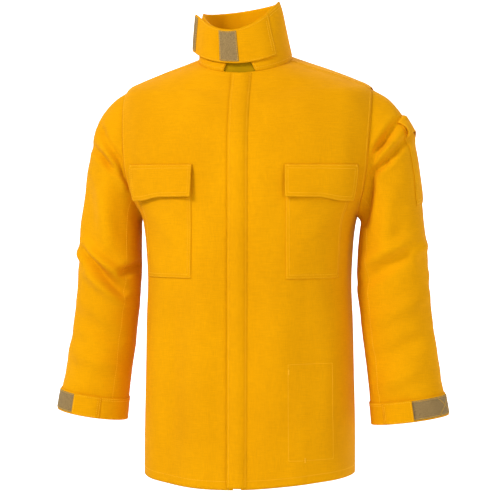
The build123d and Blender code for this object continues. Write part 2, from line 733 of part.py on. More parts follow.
save("collar_lining", sheet(collar_point, COLLAR_ANGLES, (COLLAR_LOW, 0.99), 0.0, 1.6, (28, 4)))
save("collar_outer", sheet(collar_point, COLLAR_ANGLES, (COLLAR_LOW, 1.0), 1.6 + LAYER_GAP, COLLAR_OUTSIDE, (28, 4)))
collar_patch_low = COLLAR_OUTSIDE + 0.1
hook_area = ((-84.0, -66.0), (0.3, 0.92))
collar_patch = sheet(collar_point, *hook_area, collar_patch_low, collar_patch_low + 0.8, (4, 3))
save("collar_hook_patch", collar_patch)
tab_angles = (TAB_END_ANGLE, TAB_SEAM_ANGLE)
save("throat_tab", tab_part(tab_angles, (TAB_LOW, TAB_HIGH), 0.0, CLOTH, (20, 4)))
patch_rises = (TAB_LOW + 0.04, TAB_HIGH - 0.04)
patch_layer = (CLOTH + 0.1, CLOTH + 0.1 + PATCH)
save("tab_centre_patch", tab_part((-24.0, 5.0), patch_rises, *patch_layer, (5, 3)))
end_angles = (TAB_END_ANGLE + 1.0, TAB_END_ANGLE + 12.0)
save("tab_end_patch", tab_part(end_angles, patch_rises, *patch_layer, (4, 3)))
save("tab_hook_patch", tab_part(*hook_area, -0.1 - 0.8, -0.1, (6, 3)))
save("hanger_loop", sheet(loop_point, (0.0, 180.0), (-5.0, 5.0), 0.0, 1.6, (12, 2)))
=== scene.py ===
import math

import bpy
import numpy as np
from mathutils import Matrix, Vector


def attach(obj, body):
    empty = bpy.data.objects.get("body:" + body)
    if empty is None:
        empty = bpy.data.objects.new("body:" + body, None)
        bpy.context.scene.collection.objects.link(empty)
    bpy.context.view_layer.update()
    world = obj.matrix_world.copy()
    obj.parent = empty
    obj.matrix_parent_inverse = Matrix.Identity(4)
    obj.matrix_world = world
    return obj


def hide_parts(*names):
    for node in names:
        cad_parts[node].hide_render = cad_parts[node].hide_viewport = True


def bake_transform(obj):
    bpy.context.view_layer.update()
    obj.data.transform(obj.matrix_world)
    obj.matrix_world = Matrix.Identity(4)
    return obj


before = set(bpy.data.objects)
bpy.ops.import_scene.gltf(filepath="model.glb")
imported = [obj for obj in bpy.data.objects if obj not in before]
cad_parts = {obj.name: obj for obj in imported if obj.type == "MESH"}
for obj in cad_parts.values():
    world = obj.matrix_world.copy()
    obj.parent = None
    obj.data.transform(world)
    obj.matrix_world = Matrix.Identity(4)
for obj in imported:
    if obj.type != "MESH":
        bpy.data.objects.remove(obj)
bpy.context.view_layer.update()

MM = 0.001
RNG = np.random.default_rng(7)

# The cloth surfaces follow the same driving sizes as the CAD model, in millimetres.
CENTRE_Y = -52.0
ROUNDNESS = 2.4
SHOULDER_RUN, NECK_RUN, HEM_RUN = -60.0, 92.0, -762.0
HEM_DROP, HEM_LEAN, NECK_SADDLE = 14.0, 6.0, 9.0


def body_depth(height):
    return 137.0 + (-160.0 - height) / 64.0


# run and half-width of the body's straight part, from below the hem to above the armpit
STRAIGHT_ROWS = (
    (-810.0, 193.0), (-762.0, 193.0), (-690.0, 193.0), (-565.0, 190.5), (-476.0, 188.5), (-410.0, 186.0),
    (-344.0, 189.0), (-310.0, 193.0), (-290.0, 198.0), (-268.0, 209.0), (-240.0, 223.0), (-200.0, 236.0),
)
# run along the side, height, half-width, half-depth, centre x, centre y, slope towards the front
BODY_ROWS = np.array([(run, run, half, body_depth(run), 0.0, CENTRE_Y, 0) for run, half in STRAIGHT_ROWS] + [
    (-150.0, -150.0, 240.0, 136.0, 0.0, CENTRE_Y, 0.0),
    (-105.0, -105.0, 237.0, 127.0, 0.0, CENTRE_Y, 0.04),
    (-76.0, -76.0, 230.0, 116.0, -0.5, -53.0, 0.08),
    (SHOULDER_RUN, -60.0, 221.0, 108.0, -1.0, -54.0, 0.11),
    (-38.0, -51.0, 200.0, 101.0, -2.0, -56.0, 0.14),
    (10.0, -37.0, 155.0, 90.0, -3.0, -60.0, 0.18),
    (55.0, -26.0, 114.0, 80.0, -4.0, -64.0, 0.21),
    (NECK_RUN, -17.0, 82.0, 75.0, -5.0, -67.0, 0.233),
])
ARMHOLE_HALF_DEPTH, ARMHOLE_TOP, ARMHOLE_BOTTOM = 64.0, -60.0, -292.0
ARMHOLE_MIDDLE = (ARMHOLE_TOP + ARMHOLE_BOTTOM) / 2.0
ARMHOLE_HALF_HEIGHT = (ARMHOLE_TOP - ARMHOLE_BOTTOM) / 2.0
SLEEVE_WIDTH = {"right": 0.96, "left": 1.04}
# step, inner x, inner height, outer x, outer height, half-depth, centre y
SLEEVE_ROWS = np.array([
    (0.0, 201.0, ARMHOLE_BOTTOM, 225.0, ARMHOLE_TOP, ARMHOLE_HALF_DEPTH, CENTRE_Y),
    (1.0, 204.0, -301.0, 258.0, -84.0, 64.5, CENTRE_Y),
    (2.0, 204.5, -313.0, 286.0, -122.0, 65.5, CENTRE_Y),
    (3.0, 203.5, -331.0, 299.0, -172.0, 66.0, CENTRE_Y),
    (4.0, 202.5, -356.0, 310.0, -234.0, 64.0, -53.0),
    (5.0, 202.0, -388.0, 318.0, -302.0, 62.0, -54.0),
    (6.0, 203.5, -426.0, 323.0, -374.0, 60.0, -55.0),
    (7.0, 208.0, -474.0, 328.0, -444.0, 59.0, -56.0),
    (8.0, 214.0, -532.0, 337.0, -512.0, 59.0, -57.0),
    (9.0, 221.0, -594.0, 348.0, -576.0, 59.0, -58.0),
    (10.0, 225.0, -630.0, 355.0, -611.0, 59.0, -59.0),
    (11.0, 229.0, -670.0, 362.0, -651.0, 59.0, -60.0),
])
CUFF_START, SLEEVE_END = 10.0, 11.0
CLOTH = 1.1  # drawn thickness of one layer of cloth
NAP = 0.13  # unevenness of hook and loop tape
SIDES = (("right", -1.0), ("left", 1.0))


def smooth_between(rows, key):
    """Rows interpolated at every key by a curve with the slope of each row's neighbours."""
    key = np.asarray(key, float)
    last = len(rows) - 1
    index = np.clip(np.searchsorted(rows[:, 0], key, side="left") - 1, 0, last - 1)
    before, start = rows[np.maximum(index - 1, 0)], rows[index]
    end, after = rows[index + 1], rows[np.minimum(index + 2, last)]
    span = end[..., :1] - start[..., :1]
    t = np.clip((key[..., None] - start[..., :1]) / span, 0.0, 1.0)
    slope_start = (end - before) / (end[..., :1] - before[..., :1]) * span
    slope_end = (after - start) / (after[..., :1] - start[..., :1]) * span
    value = (2 * t**3 - 3 * t**2 + 1) * start + (t**3 - 2 * t**2 + t) * slope_start
    value = value + (3 * t**2 - 2 * t**3) * end + (t**3 - t**2) * slope_end
    return np.moveaxis(value[..., 1:], -1, 0)


def part_of(value, low, high):
    """How far values are on the way from low to high, held between 0 and 1."""
    return np.clip((value - low) / (high - low), 0.0, 1.0)


def travelled(points):
    """Distance so far along a line of places, or along the columns of a grid."""
    steps = np.linalg.norm(np.diff(points, axis=0), axis=-1)
    return np.concatenate([np.zeros((1, *steps.shape[1:])), np.cumsum(steps, 0)])


def body_point(angle, run):
    """Places on the coat body in mm, by angle from the centre front towards the wearer's left."""
    angle, run = np.broadcast_arrays(np.asarray(angle, float), np.asarray(run, float))
    height, half_width, half_depth, centre_x, centre_y, slope = smooth_between(BODY_ROWS, run)
    sine, cosine = np.sin(np.radians(angle)), np.cos(np.radians(angle))
    power = np.abs(sine / half_width) ** ROUNDNESS + np.abs(cosine / half_depth) ** ROUNDNESS
    radius = power ** (-1.0 / ROUNDNESS)
    y = -radius * cosine
    saddle = NECK_SADDLE * np.maximum(0.0, (run - SHOULDER_RUN) / (NECK_RUN - SHOULDER_RUN)) * sine**2
    return np.stack([centre_x + radius * sine, centre_y + y, height + slope * y + saddle], -1)


def front_point(x, run):
    """Places on the body at a sideways distance x from the centre front."""
    values = smooth_between(BODY_ROWS, run)
    return body_point(np.degrees(np.arctan2(x - values[3], values[2])), run)


def armhole_edge(sweep, side):
    """The armhole's edge: sweep 0 is the armpit, 180 the shoulder, up the front and down the back."""
    turn = np.radians(np.asarray(sweep, float))
    run = ARMHOLE_MIDDLE - ARMHOLE_HALF_HEIGHT * np.cos(turn)
    ahead = ARMHOLE_HALF_DEPTH * np.sin(turn)
    values = smooth_between(BODY_ROWS, run)
    part = np.abs(ahead / values[2])
    across = values[1] * (1.0 - part**ROUNDNESS) ** (1.0 / ROUNDNESS)
    angle = np.degrees(np.arctan2(across, ahead))
    return (angle if side == "left" else -angle), run


def sleeve_point(side, angle, step):
    """Places on a sleeve, by angle from its outermost line towards the front."""
    angle, step = np.broadcast_arrays(np.asarray(angle, float), np.asarray(step, float))
    inner_x, inner_z, outer_x, outer_z, half_depth, centre_y = smooth_between(SLEEVE_ROWS, step)
    sine, cosine = np.sin(np.radians(angle)), np.cos(np.radians(angle))
    widen = 1.0 + (SLEEVE_WIDTH[side] - 1.0) * np.minimum(step / 4.0, 1.0)
    x = (outer_x + inner_x) / 2.0 + (outer_x - inner_x) / 2.0 * widen * cosine
    y = centre_y - half_depth * sine
    z = (outer_z + inner_z) / 2.0 + (outer_z - inner_z) / 2.0 * cosine
    place = np.stack([x if side == "left" else -x, y, z], -1)
    ring = body_point(*armhole_edge(180.0 - angle, side))
    plane = np.stack([(213.0 + 12.0 * cosine) * (1 if side == "left" else -1), CENTRE_Y - 64.0 * sine,
                      ARMHOLE_MIDDLE + ARMHOLE_HALF_HEIGHT * cosine], -1)
    hold = np.clip(1.0 - step / 1.6, 0.0, 1.0)[..., None] ** 2
    return place + (ring - plane) * hold


# ---- collar ----
COLLAR_GAP_ANGLE = 9.0
COLLAR_TOP = dict(half_width=67.0, half_depth=66.0, x=-14.0, y=-66.0, back=88.0, front=44.0, lean=10.0)


def collar_point(angle, rise):
    """Places on the collar, from the neck seam at rise 0 to its top edge at rise 1."""
    angle, rise = np.broadcast_arrays(np.asarray(angle, float), np.asarray(rise, float))
    low = body_point(angle, NECK_RUN)
    sine, cosine = np.sin(np.radians(angle)), np.cos(np.radians(angle))
    c = COLLAR_TOP
    top = c["back"] - (c["back"] - c["front"]) * np.maximum(0.0, cosine) ** 1.5 + c["lean"] * sine
    high = np.stack([c["x"] + c["half_width"] * sine, c["y"] - c["half_depth"] * cosine, top], -1)
    return low + (high - low) * rise[..., None]


# ---- cloth relief ----
def lumps(points, size, seed, depth=3):
    """Smooth repeatable unevenness between -1 and 1, from a few crossing waves."""
    rng = np.random.default_rng(seed)
    total = np.zeros(points.shape[:-1])
    weight = 0.0
    for octave in range(depth):
        for _ in range(5):
            way = rng.normal(size=3)
            way /= np.linalg.norm(way)
            part = 0.6**octave
            total += part * np.sin(points @ way * (2 * math.pi / size * 1.7**octave) + rng.uniform(0, 6.28))
            weight += part * part
    return total / math.sqrt(weight * 2.0)


def creases(points, ahead, lines):
    """Folds along straight lines seen from the front: x, z, x, z, half-width, height, front or back."""
    total = np.zeros(points.shape[:-1])
    for x0, z0, x1, z1, width, height, facing in lines:
        start, end = np.array((x0, z0)), np.array((x1, z1))
        flat = points[..., (0, 2)] - start
        along = end - start
        part = np.clip((flat @ along) / (along @ along), -0.15, 1.15)
        away = np.linalg.norm(flat - part[..., None] * along, axis=-1) / width
        fade = np.clip(np.sin(math.pi * np.clip((part + 0.15) / 1.3, 0, 1)), 0, 1) ** 0.6
        seen = np.clip(ahead * facing * 1.6 + 0.25, 0.0, 1.0)
        total += height * fade * seen * (1.0 - 0.5 * away**2) * np.exp(-0.5 * away**2)
    return total


def normals(points, close=False):
    """Unit normals of a grid of places, from its own differences."""
    if close:
        du = np.roll(points, -1, 0) - np.roll(points, 1, 0)
    else:
        du = np.gradient(points, axis=0)
    dv = np.gradient(points, axis=1)
    n = np.cross(du, dv)
    return n / np.maximum(np.linalg.norm(n, axis=-1, keepdims=True), 1e-9)


BODY_FOLDS = [
    (-208, -150, -196, -235, 10, -3.4, 1), (-190, -120, -150, -190, 18, 2.2, 1),
    (205, -120, 208, -260, 12, -2.6, 1), (-30, -70, -90, -60, 12, -2.4, 1), (40, -75, 100, -58, 12, -2.2, 1),
    (-215, -235, -120, -330, 16, 2.6, 1), (-205, -275, -140, -420, 18, 2.4, 1),
    (212, -240, 130, -320, 16, 2.6, 1), (200, -280, 135, -430, 18, 2.2, 1),
    (-60, -120, -150, -95, 20, 1.6, 1), (60, -115, 150, -85, 20, 1.6, 1),
    (-60, -430, -75, -760, 26, 3.4, 1), (-120, -470, -135, -770, 22, -3.0, 1),
    (70, -420, 60, -700, 26, 2.6, 1), (125, -440, 150, -760, 26, -2.8, 1),
    (-165, -440, -172, -760, 20, 3.0, 1), (170, -470, 168, -760, 20, 3.0, 1),
    (-200, -240, -110, -330, 18, 3.4, -1), (200, -240, 110, -330, 18, 3.4, -1),
    (-90, -330, -70, -770, 30, 4.0, -1), (0, -300, 5, -780, 28, -3.6, -1),
    (95, -340, 80, -770, 30, 4.2, -1), (-150, -380, -150, -770, 24, -3.4, -1),
    (150, -360, 155, -770, 24, -3.2, -1), (-120, -120, 120, -120, 22, 2.0, -1),
]
FINE_SIZE, BROAD_SIZE = 62.0, 190.0


def body_relief(points, normal):
    """Outward unevenness of the body cloth, in mm, fading at the neck."""
    depth, aside = -points[..., 2], np.abs(points[..., 0])
    fade = part_of(depth, 20.0, 80.0)
    fly = part_of(aside, 12.0, 46.0)
    fade = fade * np.where(normal[..., 1] < 0.0, 0.12 + 0.88 * fly * fly * (3 - 2 * fly), 1.0)
    relief = creases(points, -normal[..., 1], BODY_FOLDS)
    broad = lumps(points * (1, 1, 0.45), BROAD_SIZE, 3)
    relief = 1.8 * relief + 2.4 * broad + 0.6 * lumps(points, FINE_SIZE, 5)
    sideways = part_of(aside, 120.0, 180.0)
    below = part_of(depth, 240.0, 300.0)
    return relief * fade * (1.0 - 0.75 * sideways) - 1.5 * sideways * below


BACK_FOLDS = [
    (300, -140, 225, -240, 10, 4.0, -1), (300, -350, 230, -420, 12, -4.4, -1),
    (320, -400, 235, -450, 12, 4.0, -1), (320, -520, 240, -560, 16, -2.6, -1),
]
SLEEVE_FOLDS = {
    "right": [
        (-272, -132, -217, -219, 8, -4.5, 1), (-286, -168, -216, -226, 7, -3.8, 1),
        (-260, -150, -222, -232, 9, 3.4, 1), (-300, -360, -234, -428, 9, -4.6, 1),
        (-306, -340, -236, -398, 9, 3.4, 1), (-290, -400, -228, -452, 10, 3.0, 1),
        (-196, -380, -232, -398, 8, -4.0, 1), (-330, -350, -300, -372, 9, 3.0, 1),
        (-320, -470, -240, -520, 14, -2.2, 1), (-330, -540, -245, -570, 14, 2.0, 1),
        (-262, -250, -250, -345, 16, 2.6, 1), (-300, -230, -288, -340, 18, -2.2, 1),
    ] + [(-x0, z0, -x1, z1, *rest) for x0, z0, x1, z1, *rest in BACK_FOLDS],
    "left": [
        (272, -126, 226, -196, 8, -5.0, 1), (292, -150, 258, -192, 7, -3.0, 1),
        (258, -192, 228, -214, 7, -4.4, 1), (262, -166, 232, -186, 7, 3.2, 1),
        (230, -215, 214, -300, 9, -4.0, 1), (334, -340, 300, -356, 10, 3.4, 1),
        (300, -352, 214, -412, 12, -2.6, 1), (310, -330, 220, -372, 12, 2.4, 1),
        (330, -430, 240, -480, 15, 2.2, 1), (336, -500, 244, -548, 15, -2.0, 1),
        (262, -250, 252, -345, 16, 2.4, 1), (318, -560, 250, -600, 14, 1.8, 1),
    ] + BACK_FOLDS,
}


def sleeve_relief(side, points, normal, step):
    """Outward unevenness of a sleeve, in mm, fading at the armhole and the cuff."""
    fade = np.clip(step / 0.9, 0.0, 1.0) * (0.25 + 0.75 * np.clip((CUFF_START - step) / 0.8, 0.0, 1.0))
    relief = creases(points, -normal[..., 1], SLEEVE_FOLDS[side])
    relief = 2.8 * relief + 1.5 * lumps(points * (1, 1, 0.6), 130.0, 11) + 0.7 * lumps(points, FINE_SIZE, 12)
    return relief * fade


# ---- meshes ----
def new_object(name, vertices, faces, material, body, smooth=True):
    """An object of vertices in mm, riding on its body when one is given."""
    mesh = bpy.data.meshes.new(name)
    mesh.from_pydata([tuple(v) for v in np.asarray(vertices) * MM], [], faces)
    mesh.materials.append(material)
    mesh.polygons.foreach_set("use_smooth", [smooth] * len(mesh.polygons))
    mesh.update()
    obj = bpy.data.objects.new(name, mesh)
    bpy.context.scene.collection.objects.link(obj)
    if body:
        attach(obj, body)
    return obj


def cloth_object(name, points, kind, body, nodes, thickness, close=False):
    """A closed sheet in the place of CAD nodes: the grid in mm is its outside, and its inside lies behind."""
    n = normals(points, close)
    columns, rows = points.shape[:2]
    outside = points.reshape(-1, 3)
    inside = (points - n * thickness).reshape(-1, 3)
    count = columns * rows
    faces = []
    last = columns if close else columns - 1
    for c in range(last):
        d = (c + 1) % columns
        for r in range(rows - 1):
            a, b, e, f = c * rows + r, d * rows + r, d * rows + r + 1, c * rows + r + 1
            faces.append((a, b, e, f))
            faces.append((count + f, count + e, count + b, count + a))
        for r, flip in ((0, False), (rows - 1, True)):
            a, b = c * rows + r, d * rows + r
            rim = (a, count + a, count + b, b)
            faces.append(rim[::-1] if flip else rim)
    if not close:
        for c, flip in ((0, True), (columns - 1, False)):
            for r in range(rows - 1):
                a, b = c * rows + r, c * rows + r + 1
                rim = (a, count + a, count + b, b)
                faces.append(rim[::-1] if flip else rim)
    material, slot = kind
    obj = new_object(name, np.concatenate([outside, inside]), faces, material, body)
    if nodes:
        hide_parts(*nodes)
    return obj


LEAST_FLAT = 0.0101  # the shortest flat size in metres that a sheet's measured width and length are raised to


def grid_area(points, close=False):
    """Area of a grid of places, and its longest width and length, in metres."""
    if close:
        points = np.concatenate([points, points[:1]])
    du, dv = np.diff(points, axis=0), np.diff(points, axis=1)
    cross = np.cross(du[:, :-1], dv[:-1])
    area = np.linalg.norm(cross, axis=-1).sum() * MM * MM
    width = np.linalg.norm(du, axis=-1).sum(0).max() * MM
    length = np.linalg.norm(dv, axis=-1).sum(1).max() * MM
    return area, width, length


def across(low, high, count):
    """Evenly spaced values as a grid's columns."""
    return np.linspace(low, high, count)[:, None]


def along(low, high, count):
    """Evenly spaced values as a grid's rows."""
    return np.linspace(low, high, count)[None, :]


def facing(sign, low, high, count):
    """Values as columns, in the order that makes the normals point outwards on either side."""
    return across(low, high, count)[::int(sign)]


def lay(surface, u, v, offset):
    """A grid on a surface, moved outwards by offset, and its normals."""
    points = surface(*np.broadcast_arrays(u, v))
    n = normals(points)
    return points + n * offset, n


STITCH_RISE, STITCH_SINK = 0.35, 0.05  # a stitch stands this part of its radius up, less a sink in mm


def stitch_row(path, outward, pitch=3.3, length=2.3, radius=0.42):
    """Vertices and faces of a row of stitches along a line of places in mm."""
    reach = travelled(path)
    count = max(int(reach[-1] / pitch), 1)
    middles = (np.arange(count) + 0.5) * reach[-1] / count

    def read(values, where):
        return np.stack([np.interp(where, reach, values[:, k]) for k in range(3)], -1)

    at, up = read(path, middles), read(outward, middles)
    ahead = read(path, middles + 0.5) - read(path, middles - 0.5)
    ahead /= np.maximum(np.linalg.norm(ahead, axis=1, keepdims=True), 1e-9)
    up /= np.maximum(np.linalg.norm(up, axis=1, keepdims=True), 1e-9)
    beside = np.cross(ahead, up)
    at = at + up * (radius * STITCH_RISE - STITCH_SINK)
    vertices, faces = [], []
    rings = ((-0.5, 0.35), (-0.28, 1.0), (0.28, 1.0), (0.5, 0.35))
    for k in range(count):
        base = len(vertices)
        for where, size in rings:
            for turn in (0.4, 1.97, 3.54, 5.11):
                vertices.append(at[k] + ahead[k] * where * length
                                + (beside[k] * math.cos(turn) + up[k] * math.sin(turn)) * radius * size)
        for ring in range(3):
            for k4 in range(4):
                a, b = base + ring * 4 + k4, base + ring * 4 + (k4 + 1) % 4
                faces.append((a, b, b + 4, a + 4))
        faces.append((base + 3, base + 2, base + 1, base))
        faces.append((base + 12, base + 13, base + 14, base + 15))
    return vertices, faces


def stitches(name, rows, body="coat_body", **how):
    """One object holding every row of stitches given as (places, outward directions)."""
    vertices, faces = [], []
    for path, outward in rows:
        v, f = stitch_row(np.asarray(path), np.asarray(outward), **how)
        faces += [tuple(i + len(vertices) for i in face) for face in f]
        vertices += v
    obj = new_object(name, vertices, faces, THREAD, body)
    return obj


# ---- materials ----
def shader(name, colour, roughness, sheen=0.0, metallic=0.0, specular=0.05):
    material = bpy.data.materials.new(name)
    material.use_nodes = True
    nodes = material.node_tree.nodes
    bsdf = nodes["Principled BSDF"]
    bsdf.inputs["Base Color"].default_value = (*colour, 1.0)
    bsdf.inputs["Roughness"].default_value = roughness
    bsdf.inputs["Metallic"].default_value = metallic
    bsdf.inputs["Sheen Weight"].default_value = sheen
    bsdf.inputs["Sheen Roughness"].default_value = 0.5
    bsdf.inputs["Specular IOR Level"].default_value = specular
    return material, nodes, material.node_tree.links, bsdf


def noise(nodes, links, vector, scale, stretch, detail=2.0):
    mapping = nodes.new("ShaderNodeMapping")
    mapping.inputs["Scale"].default_value = stretch
    texture = nodes.new("ShaderNodeTexNoise")
    texture.inputs["Scale"].default_value = scale
    texture.inputs["Detail"].default_value = detail
    links.new(vector, mapping.inputs["Vector"])
    links.new(mapping.outputs["Vector"], texture.inputs["Vector"])
    return texture.outputs["Fac"]


def mix_colours(nodes, links, factor, low, high):
    ramp = nodes.new("ShaderNodeValToRGB")
    ramp.color_ramp.elements[0].position = 0.3
    ramp.color_ramp.elements[0].color = (*low, 1.0)
    ramp.color_ramp.elements[1].position = 0.7
    ramp.color_ramp.elements[1].color = (*high, 1.0)
    links.new(factor, ramp.inputs["Fac"])
    return ramp.outputs["Color"]


def calculate(nodes, links, operation, value, constant):
    node = nodes.new("ShaderNodeMath")
    node.operation = operation
    node.inputs[1].default_value = constant
    links.new(value, node.inputs[0])
    return node.outputs[0]


def add(nodes, links, a, b, weight):
    total = calculate(nodes, links, "MULTIPLY_ADD", b, weight)
    links.new(a, total.node.inputs[2])
    return total


def add_bump(nodes, links, bsdf, height, strength, distance):
    relief = nodes.new("ShaderNodeBump")
    relief.inputs["Strength"].default_value = strength
    relief.inputs["Distance"].default_value = distance
    links.new(height, relief.inputs["Height"])
    links.new(relief.outputs["Normal"], bsdf.inputs["Normal"])


def woven(name, dark, light, roughness=0.9, sheen=0.008, bump=0.4):
    """Plain-weave cloth: slubs along and across, fine thread grain, faint cloudiness."""
    material, nodes, links, bsdf = shader(name, light, roughness, sheen)
    place = nodes.new("ShaderNodeTexCoord").outputs["Object"]
    warp = noise(nodes, links, place, 1.0, (1500.0, 1500.0, 55.0))
    weft = noise(nodes, links, place, 1.0, (60.0, 60.0, 1500.0))
    clouds = noise(nodes, links, place, 1.0, (9.0, 9.0, 6.0), 4.0)
    grain = noise(nodes, links, place, 1.0, (2600.0, 2600.0, 2600.0), 0.0)
    threads = add(nodes, links, warp, weft, 1.0)
    tint = calculate(nodes, links, "MULTIPLY", threads, 0.5)
    centred = calculate(nodes, links, "SUBTRACT", add(nodes, links, tint, clouds, 0.6), 0.3)
    links.new(mix_colours(nodes, links, centred, dark, light), bsdf.inputs["Base Color"])
    add_bump(nodes, links, bsdf, add(nodes, links, threads, grain, 0.5), bump, 0.0005)
    return material


def napped(name, dark, light):
    """Loop or hook tape: a deep, matte, speckled nap."""
    material, nodes, links, bsdf = shader(name, light, 0.95, 0.05)
    place = nodes.new("ShaderNodeTexCoord").outputs["Object"]
    speck = noise(nodes, links, place, 900.0, (1.0, 1.0, 1.0), 3.0)
    links.new(mix_colours(nodes, links, speck, dark, light), bsdf.inputs["Base Color"])
    add_bump(nodes, links, bsdf, speck, 0.8, 0.001)
    return material


def worn_metal(name, dark, light):
    material, nodes, links, bsdf = shader(name, light, 0.38, metallic=1.0, specular=0.5)
    place = nodes.new("ShaderNodeTexCoord").outputs["Object"]
    scuff = noise(nodes, links, place, 400.0, (1.0, 1.0, 4.0), 4.0)
    links.new(mix_colours(nodes, links, scuff, dark, light), bsdf.inputs["Base Color"])
    return material


# each kind of cloth: its material, and the name of its slot
YELLOW = (woven("yellow_cloth", (0.66, 0.275, 0.0), (0.80, 0.348, 0.0)), "yellow_cloth")
# the lining is a lighter copy of the yellow cloth: painted light for the dim inside of the coat
LINING_PAINTED_LIGHT = (woven("lining_cloth", (0.80, 0.34, 0.0), (0.92, 0.41, 0.0)), "lining_cloth")
THREAD = woven("yellow_thread", (0.90, 0.46, 0.01), (0.98, 0.56, 0.03), 0.6, 0.02, 0.1)
# the underlap is coloured much darker than the cloth: painted shade for the throat gap
UNDERLAP_PAINTED_SHADE = (woven("underlap_painted_shade", (0.40, 0.215, 0.0), (0.47, 0.25, 0.0)), "lining_cloth")
LOOP_TAPE = (napped("tan_loop", (0.16, 0.10, 0.035), (0.40, 0.27, 0.115)), "loop_tape")
HOOK_TAPE = (napped("tan_hook", (0.17, 0.11, 0.04), (0.38, 0.26, 0.11)), "hook_tape")
ZIP_TAPE = (woven("zip_tape_cloth", (0.66, 0.25, 0.0), (0.8, 0.33, 0.01)), "zip_tape")
METAL = worn_metal("zip_metal", (0.30, 0.20, 0.07), (0.62, 0.46, 0.2))


def cloth_sheet(name, points, nodes, body="coat_body", kind=YELLOW, thickness=CLOTH, close=False):
    """A sheet of cloth; the flat size that its own grid measures is worked out but not used."""
    obj = cloth_object(name, points, kind, body, nodes, thickness, close)
    area, width, length = grid_area(points, close)
    width, length = max(width, LEAST_FLAT), max(length, LEAST_FLAT)
    return obj


def bend(pieces, fixed, moving, start, end):
    """Bakes each piece's place into its mesh; the pieces do not bend, and fixed, moving, start and end are
    not used.
    """
    for piece in pieces:
        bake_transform(piece)


# ---- coat body ----
ACROSS = 84
BODY_OUT = 1.7  # the cloth's outside lies this far off the CAD surface
INSIDE = -CLOTH - 0.25  # puts a sheet just inside the body cloth
YOKE_RUN = -158.0
YOKE_LAP, YOKE_LIFT = 6.0, 1.3  # how far the yoke laps over the back panel, and stands off it
SEAM_FORWARD = 16.0  # the shoulder seam lies this far in front of the shoulder line
SEAM_SWEEP = 180.0 - math.degrees(math.asin(SEAM_FORWARD / ARMHOLE_HALF_DEPTH))
FIRST_SWEEP = 9.0  # keeps the lowest armhole rows from crowding
FRONT_EDGE = 7.0  # the front panels start this far from the centre front
# where the stitches run, as parts of a piece's width or length
FRONT_SEAM, BACK_SEAM, YOKE_SEAM = 5.0 / 270.0, 4.0 / 600.0, 4.0 / 480.0
FRONT_HEM, BACK_HEM = 11.0 / 860.0 * 1.25, 11.0 / 680.0 * 1.3
YOKE_ROWS = (3.0 / 280.0, 9.0 / 280.0)


def hem_run(angle):
    cosine, sine = np.cos(np.radians(angle)), np.sin(np.radians(angle))
    return HEM_RUN - HEM_DROP * cosine**2 + HEM_LEAN * sine * np.maximum(cosine, 0.0)


def on_body(surface, u, v, offset=0.0):
    """A grid on the coat's cloth with all its folds, moved outwards by offset, and its normals."""
    points = surface(*np.broadcast_arrays(u, v))
    n = normals(points)
    lift = BODY_OUT + body_relief(points, n) + offset
    return points + n * lift[..., None], n


def hem_fitted(angle, run):
    """Runs below the armpit spread so that the lowest row is the hem."""
    return run + (hem_run(angle) - HEM_RUN) * part_of(run, ARMHOLE_BOTTOM, HEM_RUN) ** 1.5


def sample(grid, u, v):
    """Places of a grid at fractions u across and v along it."""
    columns, rows = grid.shape[:2]
    u, v = np.broadcast_arrays(np.asarray(u, float), np.asarray(v, float))
    x, y = np.clip(u, 0, 1) * (columns - 1), np.clip(v, 0, 1) * (rows - 1)
    i, j = np.minimum(x.astype(int), columns - 2), np.minimum(y.astype(int), rows - 2)
    fx, fy = (x - i)[..., None], (y - j)[..., None]
    low = grid[i, j] * (1 - fx) + grid[i + 1, j] * fx
    high = grid[i, j + 1] * (1 - fx) + grid[i + 1, j + 1] * fx
    return low * (1 - fy) + high * fy


def seam(grid, n, u, v):
    """A line for stitches, through fractions u and v of a grid."""
    return sample(grid, u, v), sample(n, u, v)


def edge_seams(grid, n, edges, *insets, steps=60):
    """Lines insets in mm inside the named edges: l and r at u 0 and 1, b and t at v 0 and 1."""
    columns, rows = grid.shape[:2]
    width = travelled(grid[:, rows // 2])[-1]
    length = travelled(grid[columns // 2])[-1]
    part = np.linspace(0.0, 1.0, steps)
    found = []
    for inset in insets:
        a, b = inset / width, inset / length
        lines = {
            "l": (a, b + (1 - 2 * b) * part),
            "r": (1 - a, b + (1 - 2 * b) * part),
            "b": (a + (1 - 2 * a) * part, b),
            "t": (a + (1 - 2 * a) * part, 1 - b),
        }
        found += [seam(grid, n, *lines[edge]) for edge in edges]
    return found


BODY_ROWS_LOW = np.linspace(HEM_RUN, ARMHOLE_BOTTOM, 96)[:-1]
front_sweep = np.concatenate([[0.0], np.linspace(FIRST_SWEEP, SEAM_SWEEP, 61)])
armhole_angle, armhole_run = armhole_edge(front_sweep, "left")
seam_run = np.linspace(armhole_run[-1], NECK_RUN, 34)
seam_angle = np.degrees(np.arccos(SEAM_FORWARD / smooth_between(BODY_ROWS, seam_run)[1]))
EDGE_ANGLES = np.concatenate([np.full(len(BODY_ROWS_LOW), 90.0), armhole_angle, seam_angle[1:]])
EDGE_RUNS = np.concatenate([BODY_ROWS_LOW, armhole_run, seam_run[1:]])

